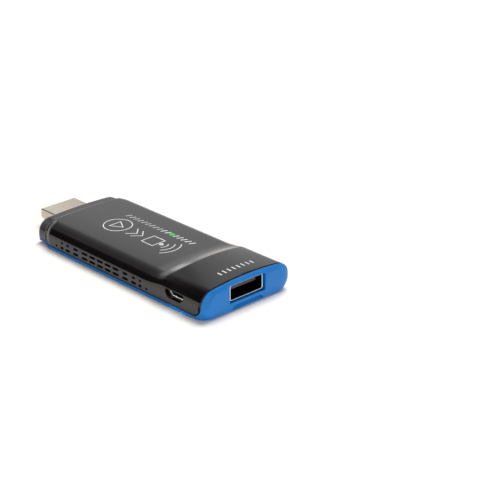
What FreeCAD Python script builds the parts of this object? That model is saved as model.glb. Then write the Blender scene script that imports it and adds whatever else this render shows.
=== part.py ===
import FreeCAD, Part
import math
import os
from types import SimpleNamespace

import Sketcher
from FreeCAD import Placement, Rotation, Vector

# Frame: X runs along the stick with the HDMI plug at -X and the USB port at +X, Y runs across it
# with the vents and the micro USB port at -Y, and Z is up. The origin is under the middle, on the floor.

DIMENSIONS = {
    # casing
    "body_width": 34.8,
    "main_top": 8.8,
    "hump_rise": 1.9,
    "corner_radius": 4.6,
    "main_arch": 200.0,
    "hump_arch": 62.0,
    "shell_wall": 1.3,
    "seam_height": 1.1,
    "seam_gap": 0.12,
    "edge_round": 0.9,
    "neck_len": 5.0,
    "neck_inset": 0.8,
    "neck_drop": 0.75,
    "neck_lift": 0.3,
    "main_len": 51.1,
    "ramp_len": 7.5,
    "hump_len": 15.4,
    # end cap round the USB port
    "cap_len": 1.4,
    "cap_border": 1.7,
    "cap_bevel": 1.0,
    "cap_lip": 1.2,
    "cap_corner": 4.0,
    "fit_gap": 0.15,
    "rail_height": 0.9,
    "rail_width": 0.8,
    "notch_depth": 0.5,
    "notch_top": 2.1,
    "notch_half": 5.5,
    "notch_flare": 1.1,
    # vents in the near side
    "vent_middle": 27.9,
    "vent_pitch": 3.8,
    "vent_slot": 2.9,
    "vent_height": 0.65,
    "vent_low": 2.55,
    "vent_row": 1.65,
    # HDMI plug
    "plug_out": 11.2,
    "plug_in": 6.2,
    "plug_width": 13.9,
    "plug_height": 4.45,
    "plug_middle": 3.4,
    "plug_sheet": 0.35,
    "plug_slope_in": 1.25,
    "plug_slope_up": 1.6,
    "plug_slot_height": 1.9,
    "plug_slot_deep": 9.0,
    "core_recess": 0.6,
    "hdmi_pin_width": 0.45,
    "hdmi_pin_pitch": 1.0,
    "pin_sheet": 0.2,
    # USB A port
    "usb_window_width": 14.0,
    "usb_window_height": 5.6,
    "usb_window_low": 3.0,
    "usb_recess": 0.8,
    "usb_width": 13.2,
    "usb_height": 5.1,
    "usb_sheet": 0.25,
    "usb_round": 0.6,
    "usb_len": 13.9,
    "usb_back": 4.5,
    "usb_tongue_width": 11.1,
    "usb_tongue_height": 1.84,
    "usb_tongue_drop": 0.5,
    "usb_tongue_recess": 1.8,
    "usb_pin_width": 1.0,
    "usb_pin_pitch": 2.4,
    # micro USB port
    "micro_setback": 11.5,
    "micro_window_width": 8.0,
    "micro_window_height": 2.8,
    "micro_window_low": 3.2,
    "micro_window_slope": 1.1,
    "micro_width": 7.4,
    "micro_height": 2.5,
    "micro_slope": 0.9,
    "micro_sheet": 0.25,
    "micro_len": 5.2,
    "micro_recess": 1.6,
    "micro_back": 1.6,
    "micro_tongue_width": 3.6,
    "micro_tongue_height": 0.6,
    "micro_pin_width": 0.3,
    "micro_pin_pitch": 0.65,
    # circuit board
    "board_thick": 1.0,
    "board_margin": 1.1,
    "board_grip": 1.5,
    "board_end_gap": 0.5,
    "post_height": 1.3,
    "post_radius": 1.6,
    "pin_radius": 0.7,
    "post_edge": 3.2,
    "post_inset": 7.0,
    # reset switch
    "switch_place": 12.6,
    "switch_width": 4.5,
    "switch_depth": 3.3,
    "switch_height": 2.0,
    "switch_edge": 0.1,
    "plunger_radius": 0.7,
    "plunger_gap": 0.05,
    "plunger_len": 2.3,
    "plunger_out": 0.8,
    "bore_deep": 1.9,
    "pinhole_radius": 0.6,
    # parts on the board
    "processor_side": 14.0,
    "processor_height": 1.3,
    "processor_place": 22.0,
    "memory_len": 8.0,
    "memory_width": 10.5,
    "memory_height": 1.1,
    "memory_space": 1.5,
    "pad_side": 12.0,
    "pad_height": 0.8,
    "spreader_len": 24.0,
    "spreader_width": 22.0,
    "spreader_height": 0.6,
    "flash_len": 18.0,
    "flash_width": 12.0,
    "flash_height": 1.0,
    "power_side": 6.0,
    "power_height": 0.9,
    "wifi_side": 12.0,
    "wifi_board": 0.8,
    "wifi_space": 1.0,
    "can_wall": 0.2,
    "can_height": 1.5,
    "can_margin": 0.8,
    "radio_side": 6.0,
    "radio_height": 0.9,
    "antenna_len": 9.0,
    "antenna_width": 2.0,
    "antenna_height": 1.2,
    "crystal_len": 3.2,
    "crystal_width": 2.5,
    "crystal_height": 0.8,
    "coil_side": 3.6,
    "coil_height": 1.8,
    "coil_space": 1.2,
    "chip_len": 1.6,
    "chip_width": 0.8,
    "chip_height": 0.8,
    "chip_pitch": 2.2,
    "filter_len": 1.2,
    "filter_width": 2.4,
    "filter_height": 0.6,
    "filter_pitch": 3.4,
    "fuse_len": 3.2,
    "fuse_width": 1.6,
    "fuse_height": 0.8,
}


class Size:
    """A length that carries its number and the sheet expression it comes from."""

    def __init__(self, number, text):
        self.number = number
        self.text = text

    @staticmethod
    def of(value):
        return value if isinstance(value, Size) else Size(value, f"({value})")

    def __add__(self, other):
        other = Size.of(other)
        return Size(self.number + other.number, f"({self.text} + {other.text})")

    def __sub__(self, other):
        other = Size.of(other)
        return Size(self.number - other.number, f"({self.text} - {other.text})")

    def __mul__(self, other):
        other = Size.of(other)
        return Size(self.number * other.number, f"({self.text} * {other.text})")

    def __truediv__(self, other):
        other = Size.of(other)
        return Size(self.number / other.number, f"({self.text} / {other.text})")

    def __neg__(self):
        return self * -1

    __radd__ = __add__
    __rmul__ = __mul__


doc = FreeCAD.newDocument("StreamingStick")
sheet = doc.addObject("Spreadsheet::Sheet", "Dims")
for row, (alias, number) in enumerate(DIMENSIONS.items(), start=1):
    sheet.set(f"A{row}", alias)
    sheet.set(f"B{row}", str(number))
    sheet.setAlias(f"B{row}", alias)
doc.recompute()
dim = SimpleNamespace(**{alias: Size(number, f"Dims.{alias}") for alias, number in DIMENSIONS.items()})
ZERO = Size(0, "0")


# Stations along X and heights

total = dim.plug_out + dim.neck_len + dim.main_len + dim.ramp_len + dim.hump_len + dim.cap_len
x_face = total / 2
x_cap = x_face - dim.cap_len
x_crest = x_cap - dim.hump_len
x_ramp = x_crest - dim.ramp_len
x_main = x_ramp - dim.main_len
x_neck = x_main - dim.neck_len
x_tip = x_neck - dim.plug_out
half = dim.body_width / 2
hump_top = dim.main_top + dim.hump_rise
neck_top = dim.main_top - dim.neck_drop
neck_half = half - dim.neck_inset
inner_half = half - dim.shell_wall
inner_corner = dim.corner_radius - dim.shell_wall
upper_low = dim.seam_height + dim.seam_gap
board_low = dim.seam_height + dim.post_height
board_top = board_low + dim.board_thick
plug_low = dim.plug_middle - dim.plug_height / 2
plug_back = x_neck + dim.plug_in
board_start = plug_back - dim.board_grip
board_end = x_cap - dim.cap_lip - dim.board_end_gap
board_half = inner_half - dim.board_margin


# Helpers for document objects

def bind(item, path, size):
    item.setExpression(path, Size.of(size).text)


def place(item, at):
    for axis, size in zip("xyz", at):
        bind(item, f"Placement.Base.{axis}", size)


def box(name, at, size):
    """Box with its low corner at a point."""
    item = doc.addObject("Part::Box", name)
    for path, length in zip(("Length", "Width", "Height"), size):
        bind(item, path, length)
    place(item, at)
    return item


def block(name, middle, low, size):
    """Box that stands on a height, centred on an (x, y) point."""
    return box(name, (middle[0] - size[0] / 2, middle[1] - size[1] / 2, low), size)


def cylinder(name, at, radius, length, turn=None):
    item = doc.addObject("Part::Cylinder", name)
    if turn:
        item.Placement = Placement(Vector(), turn)
    bind(item, "Radius", radius)
    bind(item, "Height", length)
    place(item, at)
    return item


def cut(name, base, *tools):
    """Cut tools out of a base, one after another."""
    for number, tool in enumerate(tools, start=1):
        item = doc.addObject("Part::Cut", name if number == len(tools) else f"{name}_step{number}")
        item.Base = base
        item.Tool = tool
        base = item
    return base


def fuse(name, items):
    item = doc.addObject("Part::MultiFuse", name)
    item.Shapes = items
    item.Refine = True
    return item


def group(name, items):
    """Separate solids of one kind, kept together as one node."""
    item = doc.addObject("Part::Compound", name)
    item.Links = items
    return item


def sketch(body, name, role, at):
    """Sketch on one of the body's own origin planes, moved along its normal."""
    item = body.newObject("Sketcher::SketchObject", name)
    plane = next(p for p in body.Origin.OriginFeatures if p.Role == role)
    item.AttachmentSupport = (plane, "")
    item.MapMode = "FlatFace"
    bind(item, "AttachmentOffset.Base.z", at)
    return item


def fix(item, *entries):
    """Add constraints in one go; an entry with a Size gets its value from the sheet."""
    values = [entry[-1] if isinstance(entry[-1], Size) else None for entry in entries]
    made = [Sketcher.Constraint(*entry[:-1], value.number) if value else Sketcher.Constraint(*entry)
            for entry, value in zip(entries, values)]
    first = item.ConstraintCount
    item.addConstraint(made)
    for index, value in enumerate(values, start=first):
        if value:
            bind(item, f"Constraints[{index}]", value)


def polygon(item, points):
    """Closed outline through points, each one fixed from the sketch origin."""
    points = [(Size.of(u), Size.of(v)) for u, v in points]
    start = item.GeometryCount
    count = len(points)
    corners = [Vector(u.number, v.number, 0) for u, v in points]
    following = corners[1:] + corners[:1]
    item.addGeometry([Part.LineSegment(*ends) for ends in zip(corners, following)], False)
    entries = []
    for index, (u, v) in enumerate(points):
        line = start + index
        entries.append(("Coincident", line, 2, start + (index + 1) % count, 1))
        entries.append(("DistanceX", -1, 1, line, 1, u))
        entries.append(("DistanceY", -1, 1, line, 1, v))
    fix(item, *entries)


def stadium(item, middle, height, length, thick):
    """Slot outline with half round ends."""
    reach = (length - thick) / 2
    radius = thick / 2
    first = item.GeometryCount
    x, z, e, r = middle.number, height.number, reach.number, radius.number
    right = Part.Circle(Vector(x + e, z, 0), Vector(0, 0, 1), r)
    left = Part.Circle(Vector(x - e, z, 0), Vector(0, 0, 1), r)
    item.addGeometry([
        Part.ArcOfCircle(right, -math.pi / 2, math.pi / 2),
        Part.LineSegment(Vector(x + e, z + r, 0), Vector(x - e, z + r, 0)),
        Part.ArcOfCircle(left, math.pi / 2, 3 * math.pi / 2),
        Part.LineSegment(Vector(x - e, z - r, 0), Vector(x + e, z - r, 0)),
    ], False)
    joints = [("Tangent", first + step, 2, first + (step + 1) % 4, 1) for step in range(4)]
    fix(item, *joints,
        ("Radius", first, radius),
        ("DistanceX", -1, 1, first, 3, middle + reach),
        ("DistanceY", -1, 1, first, 3, height),
        ("DistanceX", -1, 1, first + 2, 3, middle - reach),
        ("Horizontal", first + 1))


def circles(item, places, radius):
    """Circles of one radius, each one fixed from the sketch origin."""
    rounds = [Part.Circle(Vector(u.number, v.number, 0), Vector(0, 0, 1), radius.number) for u, v in places]
    item.addGeometry(rounds, False)
    for index, (u, v) in enumerate(places):
        fix(item, ("Radius", index, radius),
            ("DistanceX", -1, 1, index, 3, u), ("DistanceY", -1, 1, index, 3, v))


def section(body, name, at, side, top, low, corner, arch):
    """Cross section of the casing: flat bottom and sides, rolled corners and a shallow arch on top."""
    item = sketch(body, name, "YZ_Plane", at)
    w, t, b, r, a = (size.number for size in (side, top, low, corner, arch))
    swing = math.asin((w - r) / (a - r))
    arch_z = t - a
    roll_z = arch_z + (a - r) * math.cos(swing)
    quarter = math.pi / 2
    up = Vector(0, 0, 1)
    right = Part.Circle(Vector(w - r, roll_z, 0), up, r)
    over = Part.Circle(Vector(0, arch_z, 0), up, a)
    left = Part.Circle(Vector(r - w, roll_z, 0), up, r)
    item.addGeometry([
        Part.LineSegment(Vector(-w, b, 0), Vector(w, b, 0)),
        Part.LineSegment(Vector(w, b, 0), Vector(w, roll_z, 0)),
        Part.ArcOfCircle(right, 0, quarter - swing),
        Part.ArcOfCircle(over, quarter - swing, quarter + swing),
        Part.ArcOfCircle(left, quarter + swing, math.pi),
        Part.LineSegment(Vector(-w, roll_z, 0), Vector(-w, b, 0)),
    ], False)
    crown = item.addGeometry(Part.Point(Vector(0, t, 0)), True)
    joints = [("Tangent", line, 2, line + 1, 1) for line in range(1, 5)]
    fix(item, *joints,
        ("Coincident", 5, 2, 0, 1),
        ("Coincident", 0, 2, 1, 1),
        ("Vertical", 1),
        ("Vertical", 5),
        ("Symmetric", 0, 1, 0, 2, -2),
        ("Equal", 2, 4),
        ("PointOnObject", crown, 1, 3),
        ("PointOnObject", crown, 1, -2),
        ("Radius", 2, corner),
        ("Radius", 3, arch),
        ("DistanceX", -1, 1, 0, 2, side),
        ("DistanceY", -1, 1, 0, 2, low),
        ("DistanceY", -1, 1, crown, 1, top))
    return item


def corner_outline(item, radius):
    """Region outside the rounded lower corner of the upper shell's sides, where the end cap shows."""
    x0, z0 = x_cap - dim.cap_corner, dim.seam_height + dim.cap_corner
    reach = dim.cap_corner + dim.seam_gap
    x1, z1 = x0 + reach, z0 - reach
    centre = Vector(x0.number, z0.number, 0)
    arc = Part.ArcOfCircle(Part.Circle(centre, Vector(0, 0, 1), radius.number), -math.pi / 2, 0)
    corners = [(x0 + radius, z0), (x1, z0), (x1, z1), (x0, z1), (x0, z0 - radius)]
    points = [Vector(u.number, v.number, 0) for u, v in corners]
    lines = [Part.LineSegment(start, end) for start, end in zip(points, points[1:])]
    item.addGeometry([arc] + lines, False)
    fix(item,
        ("Coincident", 0, 2, 1, 1),
        *[("Coincident", line, 2, line + 1, 1) for line in range(1, 4)],
        ("Coincident", 4, 2, 0, 1),
        ("Horizontal", 1),
        ("Vertical", 2),
        ("Horizontal", 3),
        ("Vertical", 4),
        ("Radius", 0, radius),
        ("DistanceX", -1, 1, 0, 3, x0),
        ("DistanceY", -1, 1, 0, 3, z0),
        ("DistanceX", -1, 1, 1, 2, x1),
        ("DistanceY", -1, 1, 3, 1, z1),
        ("DistanceY", -1, 1, 0, 2, z0),
        ("DistanceX", -1, 1, 0, 1, x0))


def extrude(body, name, kind, profile, length, forward=True):
    """Pad or Pocket of a sketch: forward pads along the sketch normal, and pockets against it."""
    item = body.newObject(f"PartDesign::{kind}", name)
    item.Profile = profile
    item.Type = "Length"
    bind(item, "Length", length)
    item.Reversed = not forward
    profile.Visibility = False
    return item


def loft(body, name, kind, first, last):
    item = body.newObject(f"PartDesign::{kind}Loft", name)
    item.Profile = first
    item.Sections = [last]
    item.Ruled = True
    return item


def new_body(name):
    return doc.addObject("PartDesign::Body", name)


def rectangle(body, name, role, at, low, high):
    item = sketch(body, name, role, at)
    polygon(item, [low, (high[0], low[1]), high, (low[0], high[1])])
    return item


def edges_at(feature, test):
    """Names of the edges of a feature whose two ends and middle pass a test."""
    names = []
    for index, edge in enumerate(feature.Shape.Edges, start=1):
        middle = edge.valueAt((edge.FirstParameter + edge.LastParameter) / 2)
        points = [vertex.Point for vertex in edge.Vertexes] + [middle]
        if all(test(point) for point in points):
            names.append(f"Edge{index}")
    return names


def near(value, size):
    return abs(value - size.number) < 1e-4


# Upper shell

VENT_FLANKS = ((12.1, 2.6, 2.2), (16.1, 2.2, 1.4), (19.1, 1.5, 0.9), (22.0, 0.8, None))


def vent_slots(body):
    """Two rows of slots: five long ones in the middle and shorter ones to each side."""
    item = sketch(body, "vent_outline", "XZ_Plane", half)
    middle = x_main + dim.vent_middle
    upper = dim.vent_low + dim.vent_row
    for step in range(-2, 3):
        for height in (dim.vent_low, upper):
            stadium(item, middle + dim.vent_pitch * step, height, dim.vent_slot, dim.vent_height)
    scale = dim.vent_pitch / DIMENSIONS["vent_pitch"]
    for offset, low_length, high_length in VENT_FLANKS:
        for side in (-1, 1):
            x = middle + scale * (offset * side)
            stadium(item, x, dim.vent_low, scale * low_length, dim.vent_height)
            if high_length:
                stadium(item, x, upper, scale * high_length, dim.vent_height)
    return item


def micro_outline(item, width, height, low, slope):
    """Micro USB outline: wide at the top, with sloping lower corners."""
    middle = x_cap - dim.micro_setback
    side = width / 2
    high = low + height
    polygon(item, [
        (middle - side, high), (middle - side, low + slope), (middle - side + slope, low),
        (middle + side - slope, low), (middle + side, low + slope), (middle + side, high),
    ])


def make_upper_shell():
    body = new_body("upper_shell")
    low = upper_low
    corner, flat, arch = dim.corner_radius, dim.main_arch, dim.hump_arch
    main_outer = section(body, "main_outer", x_main, half, dim.main_top, low, corner, flat)
    extrude(body, "main_pad", "Pad", main_outer, dim.main_len)
    ramp_low = section(body, "ramp_low", x_ramp, half, dim.main_top, low, corner, flat)
    ramp_high = section(body, "ramp_high", x_crest, half, hump_top, low, corner, arch)
    loft(body, "ramp_loft", "Additive", ramp_low, ramp_high)
    hump_outer = section(body, "hump_outer", x_crest, half, hump_top, low, corner, arch)
    solid = extrude(body, "hump_pad", "Pad", hump_outer, dim.hump_len - dim.seam_gap)
    doc.recompute()
    rounded = body.newObject("PartDesign::Fillet", "main_end_round")
    rounded.Base = (solid, edges_at(solid, lambda p: near(p.x, x_main) and p.z > low.number + 0.01))
    bind(rounded, "Radius", dim.edge_round)
    neck_outer = section(body, "neck_outer", x_neck, neck_half, neck_top, low, corner, flat)
    neck = extrude(body, "neck_pad", "Pad", neck_outer, dim.neck_len + dim.edge_round)
    doc.recompute()
    rounded = body.newObject("PartDesign::Fillet", "neck_end_round")
    rounded.Base = (neck, edges_at(neck, lambda p: near(p.x, x_neck) and p.z > low.number + 0.01))
    bind(rounded, "Radius", dim.edge_round)

    inside_flat = (low, inner_corner, flat - dim.shell_wall)
    inside_arch = (low, inner_corner, arch - dim.shell_wall)
    main_void = section(body, "main_void", x_main + dim.shell_wall, inner_half,
                        dim.main_top - dim.shell_wall, *inside_flat)
    extrude(body, "main_hollow", "Pocket", main_void, dim.main_len - dim.shell_wall, forward=False)
    void_low = section(body, "void_low", x_ramp, inner_half, dim.main_top - dim.shell_wall, *inside_flat)
    void_high = section(body, "void_high", x_crest, inner_half, hump_top - dim.shell_wall, *inside_arch)
    loft(body, "ramp_hollow", "Subtractive", void_low, void_high)
    hump_void = section(body, "hump_void", x_crest, inner_half, hump_top - dim.shell_wall, *inside_arch)
    extrude(body, "hump_hollow", "Pocket", hump_void, dim.hump_len, forward=False)
    neck_void = section(body, "neck_void", x_neck + dim.shell_wall, neck_half - dim.shell_wall,
                        neck_top - dim.shell_wall, *inside_flat)
    extrude(body, "neck_hollow", "Pocket", neck_void, dim.neck_len, forward=False)

    side = dim.plug_width / 2 + dim.fit_gap
    slot = rectangle(body, "plug_slot", "YZ_Plane", x_neck, (-side, low - dim.fit_gap),
                     (side, plug_low + dim.plug_height + dim.fit_gap))
    extrude(body, "plug_opening", "Pocket", slot, dim.shell_wall + dim.fit_gap, forward=False)

    vents = vent_slots(body)
    extrude(body, "vent_pocket", "Pocket", vents, dim.shell_wall * 1.5)

    window = sketch(body, "micro_window", "XZ_Plane", half)
    micro_outline(window, dim.micro_window_width, dim.micro_window_height, dim.micro_window_low,
                  dim.micro_window_slope)
    extrude(body, "micro_opening", "Pocket", window, dim.shell_wall * 1.5)

    for name, at in (("near_corner", half), ("far_corner", -inner_half)):
        outline = sketch(body, name, "XZ_Plane", at)
        corner_outline(outline, dim.cap_corner - dim.seam_gap)
        extrude(body, f"{name}_cut", "Pocket", outline, dim.shell_wall)

    hole = sketch(body, "pinhole_outline", "XZ_Plane", -inner_half)
    switch_x, switch_z = x_main + dim.switch_place, board_top + dim.switch_height / 2
    circles(hole, [(switch_x, switch_z)], dim.pinhole_radius)
    extrude(body, "pinhole", "Pocket", hole, dim.shell_wall)
    return body


# Lower shell with the end cap

def make_lower_shell():
    body = new_body("lower_shell")
    seam = dim.seam_height
    corner, arch = dim.corner_radius, dim.hump_arch
    tray = rectangle(body, "tray_outline", "YZ_Plane", x_main, (-half, ZERO), (half, seam))
    tray_pad = extrude(body, "tray", "Pad", tray, dim.main_len + dim.ramp_len + dim.hump_len)
    doc.recompute()
    keel = body.newObject("PartDesign::Fillet", "tray_round")
    long_edges = edges_at(tray_pad, lambda p: near(p.z, ZERO) and near(abs(p.y), half))
    keel.Base = (tray_pad, long_edges)
    bind(keel, "Radius", seam / 2)
    neck = rectangle(body, "neck_outline", "YZ_Plane", x_neck, (-neck_half, dim.neck_lift), (neck_half, seam))
    extrude(body, "neck_tray", "Pad", neck, dim.neck_len)
    cap_back = section(body, "cap_back", x_cap, half, hump_top, ZERO, corner, arch)
    cap_front = section(body, "cap_front", x_face, half - dim.cap_border, hump_top - dim.cap_border,
                        dim.cap_bevel, corner, arch)
    loft(body, "cap", "Additive", cap_back, cap_front)
    lip = section(body, "lip_outline", x_cap - dim.cap_lip, inner_half - dim.fit_gap,
                  hump_top - dim.shell_wall - dim.fit_gap, seam / 2, inner_corner, arch - dim.shell_wall)
    extrude(body, "cap_lip", "Pad", lip, dim.cap_lip)
    for name, at in (("near_wedge", half), ("far_wedge", -inner_half)):
        outline = sketch(body, name, "XZ_Plane", at)
        corner_outline(outline, dim.cap_corner)
        extrude(body, f"{name}_pad", "Pad", outline, dim.shell_wall, forward=False)

    rail_out = inner_half - dim.fit_gap
    rails = sketch(body, "rail_outline", "YZ_Plane", x_main + dim.shell_wall + dim.fit_gap)
    for side in (-1, 1):
        outer, inner = rail_out * side, (rail_out - dim.rail_width) * side
        top = seam + dim.rail_height
        polygon(rails, [(outer, seam / 2), (outer, top), (inner, top), (inner, seam / 2)])
    rail_len = dim.main_len + dim.ramp_len + dim.hump_len - dim.shell_wall - dim.fit_gap
    extrude(body, "rails", "Pad", rails, rail_len)

    posts = sketch(body, "post_outline", "XY_Plane", seam / 2)
    pins = sketch(body, "pin_outline", "XY_Plane", board_low)
    circles(posts, post_places(), dim.post_radius)
    circles(pins, post_places(), dim.pin_radius)
    extrude(body, "posts", "Pad", posts, dim.post_height + seam / 2)
    extrude(body, "pins", "Pad", pins, dim.board_thick)

    side = dim.usb_window_width / 2
    window = rectangle(body, "usb_window", "YZ_Plane", x_face, (-side, dim.usb_window_low),
                       (side, dim.usb_window_low + dim.usb_window_height))
    extrude(body, "usb_opening", "Pocket", window, dim.cap_len + dim.cap_lip)
    notch = sketch(body, "notch_outline", "YZ_Plane", x_face)
    wide = dim.notch_half + dim.notch_flare
    polygon(notch, [(-dim.notch_half, dim.notch_top), (-wide, ZERO),
                    (wide, ZERO), (dim.notch_half, dim.notch_top)])
    extrude(body, "notch", "Pocket", notch, dim.notch_depth)
    side = dim.plug_width / 2 + dim.fit_gap
    groove = rectangle(body, "plug_groove", "YZ_Plane", x_neck, (-side, plug_low - dim.fit_gap),
                       (side, seam + dim.fit_gap))
    extrude(body, "plug_seat", "Pocket", groove, dim.plug_in + dim.fit_gap, forward=False)
    return body


def post_places():
    """Four posts under the corners of the board."""
    y = board_half - dim.post_edge
    first = board_start + dim.post_inset
    last = x_crest - dim.post_inset / 2
    return [(x, y * side) for x in (first, last) for side in (-1, 1)]


# HDMI plug

def plug_outline(item, inset):
    """HDMI outline: square on top, with the two lower corners sloping in."""
    side = dim.plug_width / 2 - inset
    low, high = plug_low + inset, plug_low + dim.plug_height - inset
    up, inward = dim.plug_slope_up, dim.plug_slope_in
    polygon(item, [(-side, high), (-side, low + up), (-side + inward, low),
                   (side - inward, low), (side, low + up), (side, high)])


def make_hdmi_plug():
    shell = new_body("hdmi_plug_shell")
    outline = sketch(shell, "plug_sheet_outline", "YZ_Plane", x_tip)
    plug_outline(outline, ZERO)
    plug_outline(outline, dim.plug_sheet)
    extrude(shell, "plug_tube", "Pad", outline, dim.plug_out + dim.plug_in)

    core = new_body("hdmi_plug_core")
    front = x_tip + dim.core_recess
    outline = sketch(core, "core_outline", "YZ_Plane", front)
    plug_outline(outline, dim.plug_sheet)
    length = plug_back - front
    extrude(core, "core_block", "Pad", outline, length)
    side = dim.plug_width / 2 - dim.plug_sheet - dim.plug_slope_in
    high = dim.plug_slot_height / 2
    mouth = rectangle(core, "mouth_outline", "YZ_Plane", front, (-side, dim.plug_middle - high),
                      (side, dim.plug_middle + high))
    extrude(core, "mouth", "Pocket", mouth, dim.plug_slot_deep, forward=False)
    grip = rectangle(core, "grip_outline", "YZ_Plane", plug_back,
                     (-board_half, board_low), (board_half, board_top))
    extrude(core, "board_grip", "Pocket", grip, dim.board_grip)

    pins = []
    start, length = front + dim.core_recess, dim.plug_slot_deep - dim.core_recess
    for count, low in ((10, dim.plug_middle + high - dim.pin_sheet), (9, dim.plug_middle - high)):
        for index in range(count):
            y = dim.hdmi_pin_pitch * (index - (count - 1) / 2) - dim.hdmi_pin_width / 2
            name = f"hdmi_pin_{count}_{index}"
            pins.append(box(name, (start, y, low), (length, dim.hdmi_pin_width, dim.pin_sheet)))
    return [shell, core, group("hdmi_contacts", pins)]


# USB A port

usb_front = x_face - dim.usb_recess
usb_top = board_top + dim.usb_height
tongue_top = usb_top - dim.usb_sheet - dim.usb_tongue_drop
tongue_low = tongue_top - dim.usb_tongue_height


def rounded_box(name, at, size, radius):
    """Box whose edges along X are rounded."""
    solid = box(f"{name}_block", at, size)
    doc.recompute()
    item = doc.addObject("Part::Fillet", name)
    item.Base = solid
    along = [index for index, edge in enumerate(solid.Shape.Edges, start=1)
             if abs(edge.tangentAt(edge.FirstParameter).x) > 0.9]
    item.Edges = [(index, radius.number, radius.number) for index in along]
    return item


def make_usb_port():
    back = usb_front - dim.usb_len
    outer = rounded_box("usb_a_outer", (back, -dim.usb_width / 2, board_top),
                        (dim.usb_len, dim.usb_width, dim.usb_height), dim.usb_round)
    inner = rounded_box("usb_a_inner", (back, -dim.usb_width / 2 + dim.usb_sheet, board_top + dim.usb_sheet),
                        (dim.usb_len, dim.usb_width - dim.usb_sheet * 2, dim.usb_height - dim.usb_sheet * 2),
                        dim.usb_round - dim.usb_sheet)
    shell = cut("usb_a_shell", outer, inner)

    rear = rounded_box("usb_a_rear", (back, -dim.usb_width / 2 + dim.usb_sheet, board_top + dim.usb_sheet),
                       (dim.usb_back, dim.usb_width - dim.usb_sheet * 2, dim.usb_height - dim.usb_sheet * 2),
                       dim.usb_round - dim.usb_sheet)
    reach = dim.usb_len - dim.usb_tongue_recess
    blade = box("usb_a_blade", (back, -dim.usb_tongue_width / 2, tongue_low),
                (reach, dim.usb_tongue_width, dim.usb_tongue_height))
    tongue = fuse("usb_a_tongue", [rear, blade])

    pins = []
    start = back + dim.usb_back
    for index in range(4):
        y = dim.usb_pin_pitch * (index - 1.5) - dim.usb_pin_width / 2
        length = reach - dim.usb_back - dim.usb_tongue_recess / 2
        pins.append(box(f"usb_pin_{index}", (start, y, tongue_low - dim.pin_sheet),
                        (length, dim.usb_pin_width, dim.pin_sheet)))
    return [shell, tongue, group("usb_a_contacts", pins)]


# Micro USB port

def make_micro_port():
    front = -half + dim.micro_recess
    middle = x_cap - dim.micro_setback
    shell = new_body("micro_usb_shell")
    outline = sketch(shell, "micro_sheet_outline", "XZ_Plane", -front)
    thick = dim.micro_sheet
    micro_outline(outline, dim.micro_width, dim.micro_height, board_top, dim.micro_slope)
    micro_outline(outline, dim.micro_width - thick * 2, dim.micro_height - thick * 2, board_top + thick,
                  dim.micro_slope)
    extrude(shell, "micro_tube", "Pad", outline, dim.micro_len, forward=False)

    tongue = new_body("micro_usb_tongue")
    base = sketch(tongue, "micro_core_outline", "XZ_Plane", -(front + dim.micro_len))
    micro_outline(base, dim.micro_width - thick * 2, dim.micro_height - thick * 2, board_top + thick,
                  dim.micro_slope)
    extrude(tongue, "micro_core", "Pad", base, dim.micro_back)
    side = dim.micro_tongue_width / 2
    mid_z = board_top + dim.micro_height / 2
    blade = rectangle(tongue, "micro_blade_outline", "XZ_Plane", -(front + dim.micro_len),
                      (middle - side, mid_z), (middle + side, mid_z + dim.micro_tongue_height))
    extrude(tongue, "micro_blade", "Pad", blade, dim.micro_len - dim.micro_recess)

    pins = []
    length = dim.micro_len - dim.micro_back - dim.micro_recess * 1.5
    thin = dim.pin_sheet / 2
    for index in range(5):
        x = middle + dim.micro_pin_pitch * (index - 2) - dim.micro_pin_width / 2
        at = (x, front + dim.micro_recess * 1.5, mid_z - thin)
        pins.append(box(f"micro_pin_{index}", at, (dim.micro_pin_width, length, thin)))
    return [shell, tongue, group("micro_usb_contacts", pins)]


# Circuit board and what it carries

processor_x = x_main + dim.processor_place
memory_x = processor_x + dim.processor_side / 2 + dim.memory_space + dim.memory_len / 2
memory_end = memory_x + dim.memory_len / 2
chip_top = board_top + dim.processor_height
wifi_x = memory_end + dim.wifi_space + dim.wifi_side / 2
wifi_y = -(dim.wifi_side / 2)


def make_board():
    slab = box("board_slab", (board_start, -board_half, board_low),
               (board_end - board_start, board_half * 2, dim.board_thick))
    holes = [cylinder(f"board_hole_{index}", (x, y, board_low), dim.pin_radius + dim.plunger_gap,
                      dim.board_thick)
             for index, (x, y) in enumerate(post_places())]
    grip = dim.board_grip + dim.fit_gap
    rest = board_half - dim.plug_width / 2 + dim.plug_sheet + dim.plug_slope_in / 2
    corners = [box(f"board_step_{name}", (board_start, y, board_low), (grip, rest, dim.board_thick))
               for name, y in (("near", -board_half), ("far", board_half - rest))]
    return [cut("main_board", slab, *holes, *corners)]


def make_chips():
    processor = block("processor", (processor_x, ZERO), board_top,
                      (dim.processor_side, dim.processor_side, dim.processor_height))
    y = (dim.memory_width + dim.memory_space) / 2
    memories = [block(f"memory_{name}", (memory_x, y * side), board_top,
                      (dim.memory_len, dim.memory_width, dim.memory_height))
                for name, side in (("near", -1), ("far", 1))]
    flash = block("flash_chip", (processor_x, ZERO), board_low - dim.flash_height,
                  (dim.flash_len, dim.flash_width, dim.flash_height))
    power_x = processor_x - dim.processor_side / 2 - dim.power_side
    power = block("power_chip", (power_x, dim.power_side), board_top,
                  (dim.power_side, dim.power_side, dim.power_height))
    pad = block("thermal_pad", (processor_x, ZERO), chip_top, (dim.pad_side, dim.pad_side, dim.pad_height))
    spreader = block("heat_spreader", (memory_end - dim.spreader_len / 2, ZERO), chip_top + dim.pad_height,
                     (dim.spreader_len, dim.spreader_width, dim.spreader_height))
    return [processor, group("memory_chips", memories), flash, power, pad, spreader]


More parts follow.
